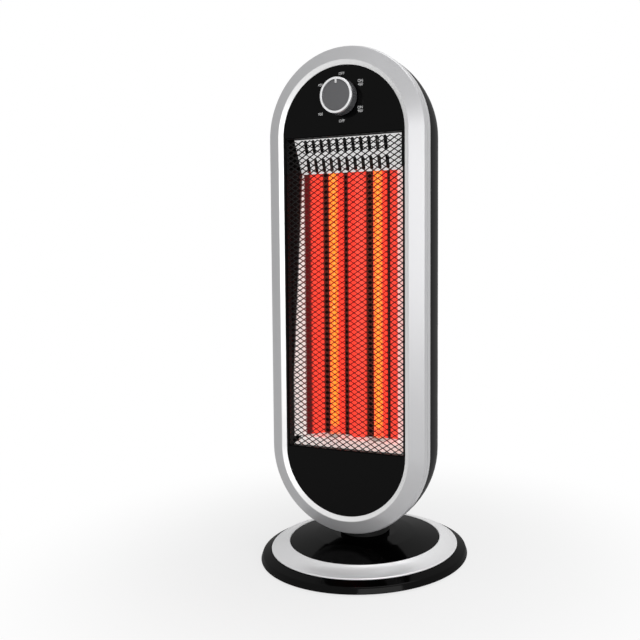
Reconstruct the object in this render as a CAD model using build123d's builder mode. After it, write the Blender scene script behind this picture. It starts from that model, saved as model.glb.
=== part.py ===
from build123d import *
import math
import os

os.makedirs("parts", exist_ok=True)

# Carbon heater: an upright oval head with two glowing tubes, turning on a round base.
# Millimetres, +Z up, the front faces -Y. The origin is on the floor under the swivel axis.

# Head outline: an upright stadium whose two round ends keep the same centres at every depth
head_width = 204.0
end_spacing = 373.0
ground_gap = 41.0
crest_width = 168.6
lip_width = 158.0

# Head depths along Y, from the front crest to the flat back
crest_y = -59.5
panel_y = -56.5
band_edge_y = -51.0
shell_joint_y = -35.5
bend_start_y = -30.0
back_y = 40.0
back_flat_width = 120.0
shell_wall = 2.4
slide_gap = 0.25

# Front bezel details
bezel_edge_radius = 3.0
crest_radius = 0.9
lip_land = 3.0
side_groove_y = -44.0
side_groove_width = 1.0
side_groove_depth = 0.6
spigot_length = 3.0
spigot_wall = 1.8

# Front panel and its window
window_width = 153.0
panel_land = 2.2
panel_plate = 3.2
panel_flange_width = 178.0
panel_flange_thickness = 2.0
window_wall = 2.0
mesh_step = 1.5
reflector_front_y = -46.5

# Guard mesh: staggered diamonds in one sheet
mesh_thickness = 0.8
mesh_border = 2.6
diamond_width = 21.4
diamond_height = 16.0
mesh_strand = 1.7
spacer_wall = 1.5

# Chassis and reflector sheet
sheet = 0.8
chassis_width = 164.0
chassis_back_y = -8.0
chassis_overrun = 16.0
side_flange = 6.4
reflector_floor_y = -14.0
reflector_floor_width = 102.0
reflector_mouth_width = 152.0
ridge_width = 26.0
ridge_rise = 10.5
reflector_inset_low = 10.0
reflector_inset_high = 36.0

# Upper vent plate and lower end plate
vent_top_y = -46.0
vent_bottom_y = -35.5
vent_height = 41.0
vent_top_width = 141.0
vent_bottom_width = 132.0
vent_fold = 12.0
slot_columns = 11
slot_pitch = 10.5
slot_width = 4.8
slot_length = 16.4
slot_row_pitch = 22.4
slot_shift = -3.0
sill_gap = 1.0
lower_plate_rise = 8.0
lower_plate_fold = 9.0
lower_slope_front_width = 150.0
lower_slope_back_width = 140.0
tube_notch_gap = 1.5
lead_hole_radius = 2.5

# Heating tubes
tube_spacing = 60.0
tube_y = -23.0
tube_diameter = 11.0
tube_wall = 1.2
tube_end_thickness = 4.0
tube_low_z = 147.0
tube_high_z = 501.0
filament_diameter = 7.0
filament_tail_diameter = 1.6
connector_diameter = 4.4
connector_length = 7.0
filament_inset = 20.0
cap_diameter = 14.6
cap_length = 18.0
cap_overlap = 9.0
cap_gap = 0.1
cap_lead_hole = 2.8
bracket_thickness = 1.0
bracket_half_width = 46.0
bracket_front_y = -33.0
bracket_fold = 12.0

# Thermal cutout on the back of the chassis
cutout_x = 52.0
cutout_z = 470.0
cutout_radius = 8.0
cutout_height = 10.0
cutout_strap_length = 32.0
cutout_strap_width = 9.0
cutout_screw_reach = 12.0
cutout_spade_reach = 4.0

# Dial: rotary switch, shaft and knob
dial_rise = 41.5
knob_diameter = 41.5
knob_face_y = -72.0
knob_back_gap = 1.8
knob_rim = 1.8
knob_wall = 2.4
face_recess = 1.4
face_thickness = 1.2
pointer_width = 2.6
pointer_length = 4.6
shaft_diameter = 6.0
shaft_fit = 0.05
bushing_diameter = 9.6
bushing_hole = 10.0
switch_width = 28.0
switch_depth = 18.0
switch_corner = 1.5
shaft_reach = 8.9
spade_count = 3
spade_circle = 9.3
nut_width = 14.0
nut_thickness = 2.0
spade_width = 4.8
spade_thickness = 0.8
spade_length = 7.0

# Swivel neck
neck_diameter = 62.0
neck_spigot_diameter = 49.6
neck_upper_diameter = 53.6
neck_bore = 24.0
neck_top_z = 66.0
saddle_gap = 0.2
hub_fit = 0.05
neck_bracket_thickness = 1.5
neck_bracket_width = 44.0
neck_bracket_rise = 92.0
neck_bracket_back = 24.0
neck_screw_circle = 19.4
neck_screw_length = 13.0
sector_screw_circle = 18.0
sector_screw_length = 10.0

# Base cover
base_diameter = 260.0
skirt_bottom_z = 1.5
skirt_knee_z = 8.5
skirt_lean = 2.4
skirt_width = 13.0
trim_outer_z = 13.6
trim_band = 22.4
trim_inner_z = 21.3
trim_thickness = 1.6
trim_bead_radius = 1.1
trim_seat_margin = 0.8
skirt_step = 1.0
dome_slope_run = 32.6
dome_shoulder_z = 27.3
dome_top_radius = 40.0
hub_top_z = 30.0
hub_bottom_z = 22.6
hub_wall = 4.0
base_wall = 2.5

# Floor of the base and the pieces that stand on it
plate_margin = 6.0
plate_bottom_z = 2.5
plate_thickness = 1.2
foot_radius = 8.0
foot_plug_radius = 3.0
foot_plug_rise = 2.0
foot_edge = 11.0
foot_count = 5
base_boss_radius = 4.2
base_boss_edge = 12.0
base_screw_length = 6.0
weight_edge = 21.0
weight_inner_radius = 58.0
weight_thickness = 7.0
weight_gap_width = 76.0
washer_thickness = 0.9
washer_margin = 1.0
washer_gap = 0.4
retainer_thickness = 0.5
running_gap = 0.05

# Swing drive: a toothed sector under the hub and a pinion on a gearmotor
gear_module = 1.0
sector_teeth = 84
sector_teeth_cut = 23
pinion_teeth = 16
gear_thickness = 3.0
addendum = 0.8
dedendum = 1.1
backlash = 0.12
pressure_angle = 20.0
flank_steps = 4
sector_hub_radius = 31.0
motor_diameter = 50.0
motor_height = 13.0
motor_lift = 0.3
motor_boss_radius = 8.0
motor_boss_height = 1.4
motor_ear_reach = 29.5
motor_ear_radius = 4.5
motor_ear_thickness = 1.0
motor_shaft_diameter = 7.0
motor_shaft_proud = 0.5
standoff_radius = 3.4
motor_screw_length = 5.0

# Tip-over switch, terminal block and cord inlet
tip_x = -30.0
tip_y = -30.0
plunger_diameter = 7.0
plunger_fit = 0.4
plunger_travel = 3.5
plunger_top_gap = 0.05
plunger_collar = 10.0
plunger_collar_thickness = 1.2
tip_switch_length = 20.0
tip_switch_width = 10.0
tip_switch_height = 9.0
tip_switch_lift = 5.3
tip_leg_length = 5.0
terminal_x = 30.0
terminal_y = -30.0
terminal_length = 24.0
terminal_width = 14.0
terminal_height = 9.0
inlet_z = 6.4
inlet_radius = 4.4
inlet_bore = 3.0
inlet_recess = 0.4
inlet_length = 12.6
inlet_fit = 0.1

# Screws and wiring
screw_radius = 1.6
screw_head_radius = 3.0
screw_head_height = 1.8
screw_hole_gap = 0.15
shell_post_out = 93.5
shell_post_radius = 4.0
shell_post_end_y = -38.0
shell_screw_angle = 55.0
shell_screw_depth = 12.0
rear_post_radius = 5.2
rear_well_radius = 3.4
rear_well_y = -20.0
side_screw_out = 86.0
side_screw_length = 10.4
side_screw_depth = 2.6
panel_boss_radius = 2.7
pan_screw_reach = 38.0
neck_leg_screw_reach = 15.0
sheet_screw_length = 4.0
lead_radius = 1.25
lead_bend = 4.0
loom_radius = 2.6
loom_bend = 8.0
loom_offset = 3.0
loom_rise = 36.0
lead_offset = 6.0

# Vents and hand grip in the rear cover
vent_slot_length = 74.0
vent_slot_width = 3.4
vent_slot_pitch = 9.0
vent_slot_rows = 8
vent_group_inset = 62.0
grip_width = 80.0
grip_height = 26.0
grip_depth = 20.0
grip_rise = 27.0

# Places worked out from the sizes above
band_half = head_width / 2
lip_half = lip_width / 2
crest_half = crest_width / 2
end_low = ground_gap + band_half
end_high = end_low + end_spacing
head_middle = (end_low + end_high) / 2
dial_z = end_high + dial_rise
panel_back_y = panel_y + panel_plate
flange_back_y = panel_back_y + panel_flange_thickness
mesh_front_y = panel_y + panel_land
mesh_back_y = mesh_front_y + mesh_thickness
mesh_seat_width = window_width + 2 * mesh_step
mesh_seat_height = end_spacing + 2 * mesh_step
base_radius = base_diameter / 2
skirt_knee_radius = base_radius - skirt_lean
trim_outer_radius = base_radius - skirt_width
trim_inner_radius = trim_outer_radius - trim_band
dome_shoulder_radius = trim_inner_radius - dome_slope_run
plate_radius = base_radius - plate_margin
foot_circle_radius = plate_radius - foot_edge
base_boss_circle = plate_radius - base_boss_edge
weight_outer_radius = plate_radius - weight_edge
inlet_outer_y = base_radius - inlet_recess
inlet_inner_y = inlet_outer_y - inlet_length
plate_top_z = plate_bottom_z + plate_thickness
neck_seat_z = hub_top_z + washer_thickness + running_gap
flange_half = chassis_width / 2 + side_flange
tube_sides = {"left": -tube_spacing / 2, "right": tube_spacing / 2}
tube_places = [(x, tube_y) for x in tube_sides.values()]
hole_radius = screw_radius + screw_hole_gap
sector_top_z = hub_bottom_z - retainer_thickness - 2 * running_gap
sector_bottom_z = sector_top_z - gear_thickness
sector_radius = gear_module * sector_teeth / 2
pinion_radius = gear_module * pinion_teeth / 2
motor_y = sector_radius + pinion_radius


def upright(y):
    """The plane facing the front at one depth"""
    return Plane.XZ.offset(-y)


def stadium(width, mode=Mode.ADD):
    """The head's outline at one width, for a sketch on an upright plane"""
    with Locations((0, head_middle)):
        return SlotCenterToCenter(end_spacing, width, rotation=90, mode=mode)


def carry(section):
    """Carries a section, drawn as (distance out, depth), round the head's outline"""
    with BuildPart() as ring:
        for level, direction in ((end_high, -1), (end_low, 1)):
            with BuildSketch(Plane.XY.offset(level)):
                add(section)
            revolve(axis=Axis((0, 0, level), (0, direction, 0)), revolution_arc=180)
        with BuildSketch(Plane.XY.offset(end_low)):
            add(section)
            mirror(section, about=Plane.YZ)
        extrude(amount=end_spacing)
    return ring.part



def head_section(grow=0.0):
    """The section of the head's body behind its joint, filled in to the middle line"""
    flat_half = back_flat_width / 2
    with BuildSketch() as section:
        with BuildLine():
            bend = EllipticalCenterArc(
                (flat_half, bend_start_y),
                band_half - flat_half + grow,
                back_y - bend_start_y + grow,
                arc_size=90,
            )
            Polyline(
                bend @ 0,
                (band_half + grow, shell_joint_y),
                (0, shell_joint_y),
                (0, back_y + grow),
                bend @ 1,
            )
        make_face()
    return section.sketch


def bent_sheet(thickness, *points):
    """The outline of one bent sheet, from the line of its right-hand face"""
    with BuildSketch() as outline:
        with BuildLine():
            face = Polyline(*points)
            offset(face, amount=thickness, side=Side.LEFT, kind=Kind.INTERSECTION)
        make_face()
    return outline.sketch


def wire(radius, bend, *points):
    """A round wire along straight runs with rounded bends"""
    with BuildPart() as lead:
        with BuildLine() as path:
            FilletPolyline(*points, radius=bend)
        with BuildSketch(Plane(points[0], z_dir=path.wire() % 0)):
            Circle(radius)
        sweep()
    return lead.part


def gear_tooth(teeth):
    """The two involute flanks and the tip of one tooth, pointing along X"""
    pitch = gear_module * teeth / 2
    pressure = math.radians(pressure_angle)
    base = pitch * math.cos(pressure)
    root = pitch - dedendum
    tip = pitch + addendum
    half = (math.pi / teeth - backlash / pitch) / 2 + math.tan(pressure) - pressure
    low = max(base, root)
    flank = [(root - dedendum, half)]
    for step in range(flank_steps + 1):
        radius = low + (tip - low) * step / flank_steps
        roll = math.acos(min(1, base / radius))
        flank.append((radius, half - math.tan(roll) + roll))
    upper = [(radius * math.cos(a), radius * math.sin(a)) for radius, a in flank]
    return upper + [(x, -y) for x, y in reversed(upper)]


def shell_places(out):
    """Six places round the head: two at its middle and two on each round end"""
    places = [(side * out, head_middle) for side in (-1, 1)]
    for end, sign in ((end_high, 1), (end_low, -1)):
        for side in (-1, 1):
            rise = out * math.sin(math.radians(shell_screw_angle))
            reach = out * math.cos(math.radians(shell_screw_angle))
            places.append((side * reach, end + sign * rise))
    return places


def side_places(out):
    """Places for the small screws down both sides of the window"""
    levels = [end_low + end_spacing * share for share in (0.06, 0.36, 0.64, 0.94)]
    return [(side * out, level) for side in (-1, 1) for level in levels]


def around(circle, *angles):
    """Places on a circle about the swivel axis, at angles in degrees"""
    turns = [math.radians(angle) for angle in angles]
    return [(circle * math.cos(turn), circle * math.sin(turn)) for turn in turns]


def write(part, label):
    """Names a finished piece and writes its file"""
    part.label = label
    export_step(part, f"parts/{label}.step")


def screws(plane, places, length):
    """Screws whose heads sit on a plane, their shanks reaching down behind it"""
    with BuildPart() as group:
        with BuildSketch(plane):
            with Locations(*places):
                Circle(screw_head_radius)
        extrude(amount=screw_head_height)
        with BuildSketch(plane):
            with Locations(*places):
                Circle(screw_radius)
        extrude(amount=-length)
        with BuildSketch(plane.offset(screw_head_height)):
            with Locations(*places):
                Rectangle(screw_head_radius, screw_radius / 2)
                Rectangle(screw_radius / 2, screw_head_radius)
        extrude(amount=-screw_head_height / 2, mode=Mode.SUBTRACT)
    return group.part


# Front bezel: the silver ring, a hooked channel carried round the head's outline
with BuildSketch() as bezel_section:
    with BuildLine():
        groove_front = side_groove_y - side_groove_width / 2
        groove_back = side_groove_y + side_groove_width / 2
        Polyline(
            (band_half, shell_joint_y),
            (band_half, groove_back),
            (band_half - side_groove_depth, groove_back),
            (band_half - side_groove_depth, groove_front),
            (band_half, groove_front),
            (band_half, band_edge_y),
            (crest_half, crest_y),
            (lip_half, panel_y),
            (lip_half, panel_y + lip_land),
            (lip_half + shell_wall, panel_y + lip_land),
            (crest_half, crest_y + shell_wall),
            (band_half - shell_wall, band_edge_y + shell_wall / 2),
            (band_half - shell_wall, shell_joint_y),
            close=True,
        )
    make_face()
    outer_edge = bezel_section.vertices().sort_by_distance((band_half, band_edge_y))[0]
    fillet(outer_edge, radius=bezel_edge_radius)
    crest = bezel_section.vertices().sort_by_distance((crest_half, crest_y))[0]
    fillet(crest, radius=crest_radius)

boss_root_y = -52.8
panel_boss_root_y = -56.8
with BuildPart() as front_bezel:
    add(carry(bezel_section.sketch))
    with BuildSketch(upright(boss_root_y)):
        with Locations(*shell_places(shell_post_out)):
            Circle(shell_post_radius)
    extrude(amount=boss_root_y - shell_post_end_y)
    with BuildSketch(upright(panel_boss_root_y)):
        with Locations(*side_places(side_screw_out)):
            Circle(panel_boss_radius)
    extrude(amount=panel_boss_root_y - panel_back_y)
    with BuildSketch(upright(shell_post_end_y)):
        with Locations(*shell_places(shell_post_out)):
            Circle(hole_radius)
    extrude(amount=shell_screw_depth, mode=Mode.SUBTRACT)
    with BuildSketch(upright(panel_back_y)):
        with Locations(*side_places(side_screw_out)):
            Circle(hole_radius)
    extrude(amount=side_screw_depth, mode=Mode.SUBTRACT)
write(front_bezel.part, "front_bezel")

# Front panel: the black plate inside the ring, with its window, flange and window walls
with BuildPart() as front_panel:
    with BuildSketch(upright(panel_back_y)):
        stadium(lip_width - 2 * slide_gap)
    extrude(amount=panel_plate)
    with BuildSketch(upright(flange_back_y)):
        stadium(panel_flange_width)
        stadium(lip_width - 2 * (slide_gap + shell_wall), mode=Mode.SUBTRACT)
    extrude(amount=panel_flange_thickness)
    with BuildSketch(upright(reflector_front_y)):
        with Locations((0, head_middle)):
            Rectangle(mesh_seat_width + 2 * window_wall, mesh_seat_height + 2 * window_wall)
    extrude(amount=reflector_front_y - panel_back_y)
    with BuildSketch(upright(reflector_front_y)):
        with Locations(*side_places(side_screw_out)):
            Circle(panel_boss_radius)
    extrude(amount=reflector_front_y - flange_back_y)
    with BuildSketch(upright(mesh_front_y)):
        with Locations((0, head_middle)):
            Rectangle(mesh_seat_width, mesh_seat_height)
    extrude(amount=mesh_front_y - reflector_front_y, mode=Mode.SUBTRACT)
    with BuildSketch(upright(panel_y)):
        with Locations((0, head_middle)):
            Rectangle(window_width, end_spacing)
        with Locations((0, dial_z)):
            Circle(bushing_hole / 2)
    extrude(amount=panel_y - reflector_front_y, mode=Mode.SUBTRACT)
    with BuildSketch(upright(reflector_front_y)):
        with Locations(*side_places(side_screw_out)):
            Circle(hole_radius)
    extrude(amount=reflector_front_y - panel_back_y, mode=Mode.SUBTRACT)
write(front_panel.part, "front_panel")

# Guard mesh: one sheet with staggered diamond gaps inside a plain border
with BuildPart() as guard_mesh:
    mesh_width = mesh_seat_width - 2 * slide_gap
    mesh_height = mesh_seat_height - 2 * slide_gap
    field_width = mesh_width - 2 * mesh_border
    field_height = mesh_height - 2 * mesh_border
    columns = int(field_width / diamond_width)
    rows = int(field_height / diamond_height)
    gap_width = diamond_width - mesh_strand * 2
    gap_height = diamond_height - mesh_strand * 1.5
    diamond = [(-gap_width / 2, 0), (0, -gap_height / 2), (gap_width / 2, 0), (0, gap_height / 2)]
    with BuildSketch(upright(mesh_back_y)):
        with Locations((0, head_middle)):
            Rectangle(mesh_width, mesh_height)
            with GridLocations(diamond_width, diamond_height, columns, rows):
                Polygon(*diamond, mode=Mode.SUBTRACT)
            with GridLocations(diamond_width, diamond_height, columns - 1, rows - 1):
                Polygon(*diamond, mode=Mode.SUBTRACT)
    extrude(amount=mesh_thickness)
write(guard_mesh.part, "guard_mesh")

# Mesh spacer: the black frame that holds the mesh against the panel
with BuildPart() as mesh_spacer:
    with BuildSketch(upright(reflector_front_y)):
        with Locations((0, head_middle)):
            Rectangle(mesh_width, mesh_height)
            Rectangle(mesh_width - 2 * spacer_wall, mesh_height - 2 * spacer_wall, mode=Mode.SUBTRACT)
    extrude(amount=reflector_front_y - mesh_back_y)
write(mesh_spacer.part, "mesh_spacer")

# Chassis: the black sheet box behind the window that carries the heating parts
chassis_low = end_low - chassis_overrun
chassis_high = end_high + chassis_overrun
chassis_half = chassis_width / 2
chassis_front_y = reflector_front_y + sheet
chassis_flange_back_y = chassis_front_y + sheet
chassis_rear_y = chassis_back_y + sheet
return_x = cutout_x + cutout_spade_reach
bracket_levels = {
    "lower": tube_low_z - cap_overlap / 2,
    "upper": tube_high_z - cap_overlap / 2 + bracket_thickness + cap_overlap / 2,
}
lower_floor_z = end_low + sill_gap + lower_plate_rise
hood_top_z = end_high
neck_leg_levels = (
    bracket_levels["lower"] - bracket_fold / 2,
    lower_floor_z - lower_plate_fold / 2,
)
pan_levels = (bracket_levels["upper"] - bracket_fold / 2, hood_top_z + vent_fold / 2)
neck_leg_places = [(s * neck_leg_screw_reach, z) for s in (-1, 1) for z in neck_leg_levels]
pan_places = [(s * pan_screw_reach, z) for s in (-1, 1) for z in pan_levels]
cutout_places = [(cutout_x + s * cutout_screw_reach, cutout_z) for s in (-1, 1)]
link_z = chassis_low + lead_bend + lead_radius
with BuildPart() as chassis:
    with BuildSketch(Plane.XY.offset(chassis_low)):
        add(
            bent_sheet(
                sheet,
                (-flange_half, chassis_front_y),
                (-chassis_half, chassis_front_y),
                (-chassis_half, chassis_back_y),
                (chassis_half, chassis_back_y),
                (chassis_half, chassis_front_y),
                (flange_half, chassis_front_y),
            )
        )
    extrude(amount=chassis_high - chassis_low)
    for level in (chassis_low, chassis_high - sheet):
        with BuildSketch(Plane.XY.offset(level)):
            with Locations((0, (chassis_front_y + chassis_back_y) / 2)):
                Rectangle(chassis_width + sheet, chassis_back_y - chassis_front_y + sheet)
        extrude(amount=sheet)
    with BuildSketch(upright(chassis_flange_back_y)):
        with Locations(*side_places(side_screw_out)):
            Circle(hole_radius)
    extrude(amount=2 * sheet, mode=Mode.SUBTRACT)
    with BuildSketch(upright(chassis_rear_y)):
        with Locations(*neck_leg_places, *pan_places, *cutout_places):
            Circle(hole_radius)
        with Locations((return_x, link_z)):
            Circle(lead_hole_radius)
    extrude(amount=2 * sheet, mode=Mode.SUBTRACT)
    with BuildSketch(Plane.XY.offset(chassis_high)):
        with Locations(*tube_places):
            Circle(lead_hole_radius)
    extrude(amount=-2 * sheet, mode=Mode.SUBTRACT)
write(chassis.part, "chassis")

# Reflector: one bent sheet with sloping sides, a flat floor and a ridge between the tubes
reflector_low = end_low + reflector_inset_low
reflector_high = end_high - reflector_inset_high
mouth_half = reflector_mouth_width / 2
floor_half = reflector_floor_width / 2
ridge_half = ridge_width / 2
with BuildPart() as reflector:
    with BuildSketch(Plane.XY.offset(reflector_low)):
        add(
            bent_sheet(
                sheet,
                (-flange_half, reflector_front_y),
                (-mouth_half, reflector_front_y),
                (-floor_half, reflector_floor_y),
                (-ridge_half, reflector_floor_y),
                (0, reflector_floor_y - ridge_rise),
                (ridge_half, reflector_floor_y),
                (floor_half, reflector_floor_y),
                (mouth_half, reflector_front_y),
                (flange_half, reflector_front_y),
            )
        )
    extrude(amount=reflector_high - reflector_low)
    with BuildSketch(upright(chassis_front_y)):
        with Locations(*side_places(side_screw_out)):
            Circle(hole_radius)
    extrude(amount=2 * sheet, mode=Mode.SUBTRACT)
write(reflector.part, "reflector")

# Upper vent plate: a sloping slotted hood over the tube tops, folded up against the chassis
hood_slope = math.hypot(vent_bottom_y - vent_top_y, vent_height)
hood_plane = Plane(
    origin=(0, vent_bottom_y, hood_top_z - vent_height),
    x_dir=(1, 0, 0),
    z_dir=(0, -vent_height, vent_top_y - vent_bottom_y),
)
with BuildPart() as vent_plate:
    with BuildSketch(hood_plane):
        with BuildLine():
            Polyline(
                (-vent_bottom_width / 2, 0),
                (vent_bottom_width / 2, 0),
                (vent_top_width / 2, hood_slope),
                (-vent_top_width / 2, hood_slope),
                close=True,
            )
        make_face()
        with Locations((slot_shift, hood_slope / 2)):
            with GridLocations(slot_pitch, slot_row_pitch, slot_columns, 2):
                SlotOverall(slot_length, slot_width, rotation=90, mode=Mode.SUBTRACT)
    extrude(amount=-sheet)
    with BuildSketch(Plane.XY.offset(hood_top_z)):
        with Locations((0, (vent_top_y + chassis_back_y) / 2)):
            Rectangle(vent_top_width, chassis_back_y - vent_top_y)
        with Locations(*tube_places):
            Circle(lead_hole_radius, mode=Mode.SUBTRACT)
    extrude(amount=-sheet)
    with BuildSketch(upright(chassis_back_y)):
        with Locations((0, hood_top_z + vent_fold / 2 - sheet)):
            Rectangle(vent_top_width, vent_fold + 2 * sheet)
        with Locations(*pan_places):
            Circle(hole_radius, mode=Mode.SUBTRACT)
    extrude(amount=sheet)
write(vent_plate.part, "vent_plate")

# Lower end plate: a short slope behind the window's sill and a floor with holes for the tubes
lower_slope = math.hypot(vent_bottom_y - vent_top_y, lower_plate_rise)
lower_slope_plane = Plane(
    origin=(0, vent_bottom_y, lower_floor_z),
    x_dir=(1, 0, 0),
    z_dir=(0, lower_plate_rise, vent_top_y - vent_bottom_y),
)
with BuildPart() as lower_plate:
    with BuildSketch(Plane.YZ.offset(-vent_bottom_width / 2)):
        add(
            bent_sheet(
                sheet,
                (chassis_back_y, lower_floor_z - lower_plate_fold),
                (chassis_back_y, lower_floor_z),
                (vent_bottom_y, lower_floor_z),
            )
        )
    extrude(amount=vent_bottom_width)
    with BuildSketch(lower_slope_plane):
        with BuildLine():
            Polyline(
                (-lower_slope_back_width / 2, 0),
                (lower_slope_back_width / 2, 0),
                (lower_slope_front_width / 2, lower_slope),
                (-lower_slope_front_width / 2, lower_slope),
                close=True,
            )
        make_face()
    extrude(amount=sheet)
    with BuildSketch(Plane.XY.offset(lower_floor_z)):
        with Locations(*tube_places):
            Circle(cap_diameter / 2 + tube_notch_gap)
    extrude(amount=-2 * sheet, mode=Mode.SUBTRACT)
    with BuildSketch(upright(chassis_back_y)):
        with Locations(*neck_leg_places):
            Circle(hole_radius)
    extrude(amount=2 * sheet, mode=Mode.SUBTRACT)
write(lower_plate.part, "lower_plate")

# Tube brackets: folded strips screwed to the chassis back, one round each row of caps
for name, bracket_z in bracket_levels.items():
    with BuildPart() as tube_bracket:
        with BuildSketch(Plane.YZ.offset(-bracket_half_width)):
            add(
                bent_sheet(
                    bracket_thickness,
                    (chassis_back_y, bracket_z - bracket_fold),
                    (chassis_back_y, bracket_z),
                    (bracket_front_y, bracket_z),
                )
            )
        extrude(amount=2 * bracket_half_width)
        with BuildSketch(Plane.XY.offset(bracket_z)):
            with Locations(*tube_places):
                Circle(cap_diameter / 2 + cap_gap)
        extrude(amount=-bracket_thickness, mode=Mode.SUBTRACT)
        with BuildSketch(upright(chassis_back_y)):
            with Locations(*neck_leg_places, *pan_places):
                Circle(hole_radius)
        extrude(amount=2 * bracket_thickness, mode=Mode.SUBTRACT)
    write(tube_bracket.part, f"tube_bracket_{name}")

# Heating tubes: glass drawn shut round the tail of a carbon filament and its connectors
filament_low = tube_low_z + filament_inset
filament_high = tube_high_z - filament_inset
for side, tube_x in tube_sides.items():
    with BuildPart() as quartz_tube:
        with BuildSketch(Plane.XY.offset(tube_low_z)):
            with Locations((tube_x, tube_y)):
                Circle(tube_diameter / 2)
        extrude(amount=tube_high_z - tube_low_z)
        fillet(quartz_tube.edges().filter_by(GeomType.CIRCLE), radius=tube_wall)
        with BuildSketch(Plane.XY.offset(tube_low_z + tube_end_thickness)):
            with Locations((tube_x, tube_y)):
                Circle(tube_diameter / 2 - tube_wall)
        extrude(amount=tube_high_z - tube_low_z - 2 * tube_end_thickness, mode=Mode.SUBTRACT)
        with BuildSketch(Plane.XY.offset(tube_low_z)):
            with Locations((tube_x, tube_y)):
                Circle(filament_tail_diameter / 2)
        extrude(amount=tube_high_z - tube_low_z, mode=Mode.SUBTRACT)
    write(quartz_tube.part, f"quartz_tube_{side}")

    with BuildPart() as carbon_filament:
        for diameter, low, high in (
            (filament_tail_diameter, tube_low_z, tube_high_z),
            (connector_diameter, filament_low - connector_length, filament_high + connector_length),
            (filament_diameter, filament_low, filament_high),
        ):
            with BuildSketch(Plane.XY.offset(low)):
                with Locations((tube_x, tube_y)):
                    Circle(diameter / 2)
            extrude(amount=high - low)
    write(carbon_filament.part, f"carbon_filament_{side}")

# Ceramic caps: sleeves closed but for a lead hole, one over each tube end
with BuildPart() as ceramic_caps:
    for mouth_z, direction in ((tube_low_z + cap_overlap, -1), (tube_high_z - cap_overlap, 1)):
        for radius, length, kind in (
            (cap_diameter / 2, cap_length, Mode.ADD),
            (tube_diameter / 2 + cap_gap, cap_overlap, Mode.SUBTRACT),
            (cap_lead_hole / 2, cap_length, Mode.SUBTRACT),
        ):
            with BuildSketch(Plane.XY.offset(mouth_z)):
                with Locations(*tube_places):
                    Circle(radius)
            extrude(amount=direction * length, mode=kind)
write(ceramic_caps.part, "ceramic_caps")

# Thermal cutout: a disc on a strap with two spades, on the back of the chassis
strap_back_y = chassis_rear_y + sheet
cutout_back_y = strap_back_y + cutout_height
cutout_spade_places = [(cutout_x + s * cutout_spade_reach, cutout_z) for s in (-1, 1)]
with BuildPart() as thermal_cutout:
    with BuildSketch(upright(strap_back_y)):
        with Locations((cutout_x, cutout_z)):
            SlotOverall(cutout_strap_length, cutout_strap_width)
        with Locations(*cutout_places):
            Circle(hole_radius, mode=Mode.SUBTRACT)
    extrude(amount=sheet)
    with BuildSketch(upright(cutout_back_y)):
        with Locations((cutout_x, cutout_z)):
            Circle(cutout_radius)
    extrude(amount=cutout_height)
    with BuildSketch(upright(cutout_back_y + spade_length)):
        with Locations(*cutout_spade_places):
            Rectangle(spade_thickness, spade_width)
    extrude(amount=spade_length)
write(thermal_cutout.part, "thermal_cutout")

# Rotary switch behind the panel, its bushing reaching through to a nut
bushing_front_y = panel_y - nut_thickness - running_gap
switch_back_y = panel_back_y + switch_depth
shaft_back_y = panel_back_y + shaft_reach
with BuildPart() as rotary_switch:
    with BuildSketch(upright(switch_back_y)):
        with Locations((0, dial_z)):
            RectangleRounded(switch_width, switch_width, switch_corner)
    extrude(amount=switch_depth)
    with BuildSketch(upright(panel_back_y)):
        with Locations((0, dial_z)):
            Circle(bushing_diameter / 2)
    extrude(amount=panel_back_y - bushing_front_y)
    with BuildSketch(upright(shaft_back_y + slide_gap)):
        with Locations((0, dial_z)):
            Circle(shaft_diameter / 2 + shaft_fit)
    extrude(amount=shaft_back_y + slide_gap - bushing_front_y, mode=Mode.SUBTRACT)
write(rotary_switch.part, "rotary_switch")

with BuildPart() as switch_spades:
    with BuildSketch(upright(switch_back_y + spade_length)):
        with Locations((0, dial_z)):
            with PolarLocations(spade_circle, spade_count):
                Rectangle(spade_thickness, spade_width)
    extrude(amount=spade_length)
write(switch_spades.part, "switch_spades")

with BuildPart() as switch_nut:
    with BuildSketch(upright(panel_y)):
        with Locations((0, dial_z)):
            RegularPolygon(nut_width / 2, 6, major_radius=False)
            Circle(bushing_diameter / 2 + slide_gap, mode=Mode.SUBTRACT)
    extrude(amount=nut_thickness)
write(switch_nut.part, "switch_nut")

# Dial: the shaft, the hollow knob pressed on it and the grey disc let into its face
knob_back_y = panel_y - knob_back_gap
face_back_y = knob_face_y + face_recess + face_thickness
shaft_front_y = face_back_y + knob_wall
knob_radius = knob_diameter / 2
face_radius = knob_radius - knob_rim
pointer_rise = dial_z + face_radius - pointer_length / 2
with BuildPart() as switch_shaft:
    with BuildSketch(upright(shaft_back_y)):
        with Locations((0, dial_z)):
            Circle(shaft_diameter / 2)
    extrude(amount=shaft_back_y - shaft_front_y)
write(switch_shaft.part, "switch_shaft")

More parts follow.
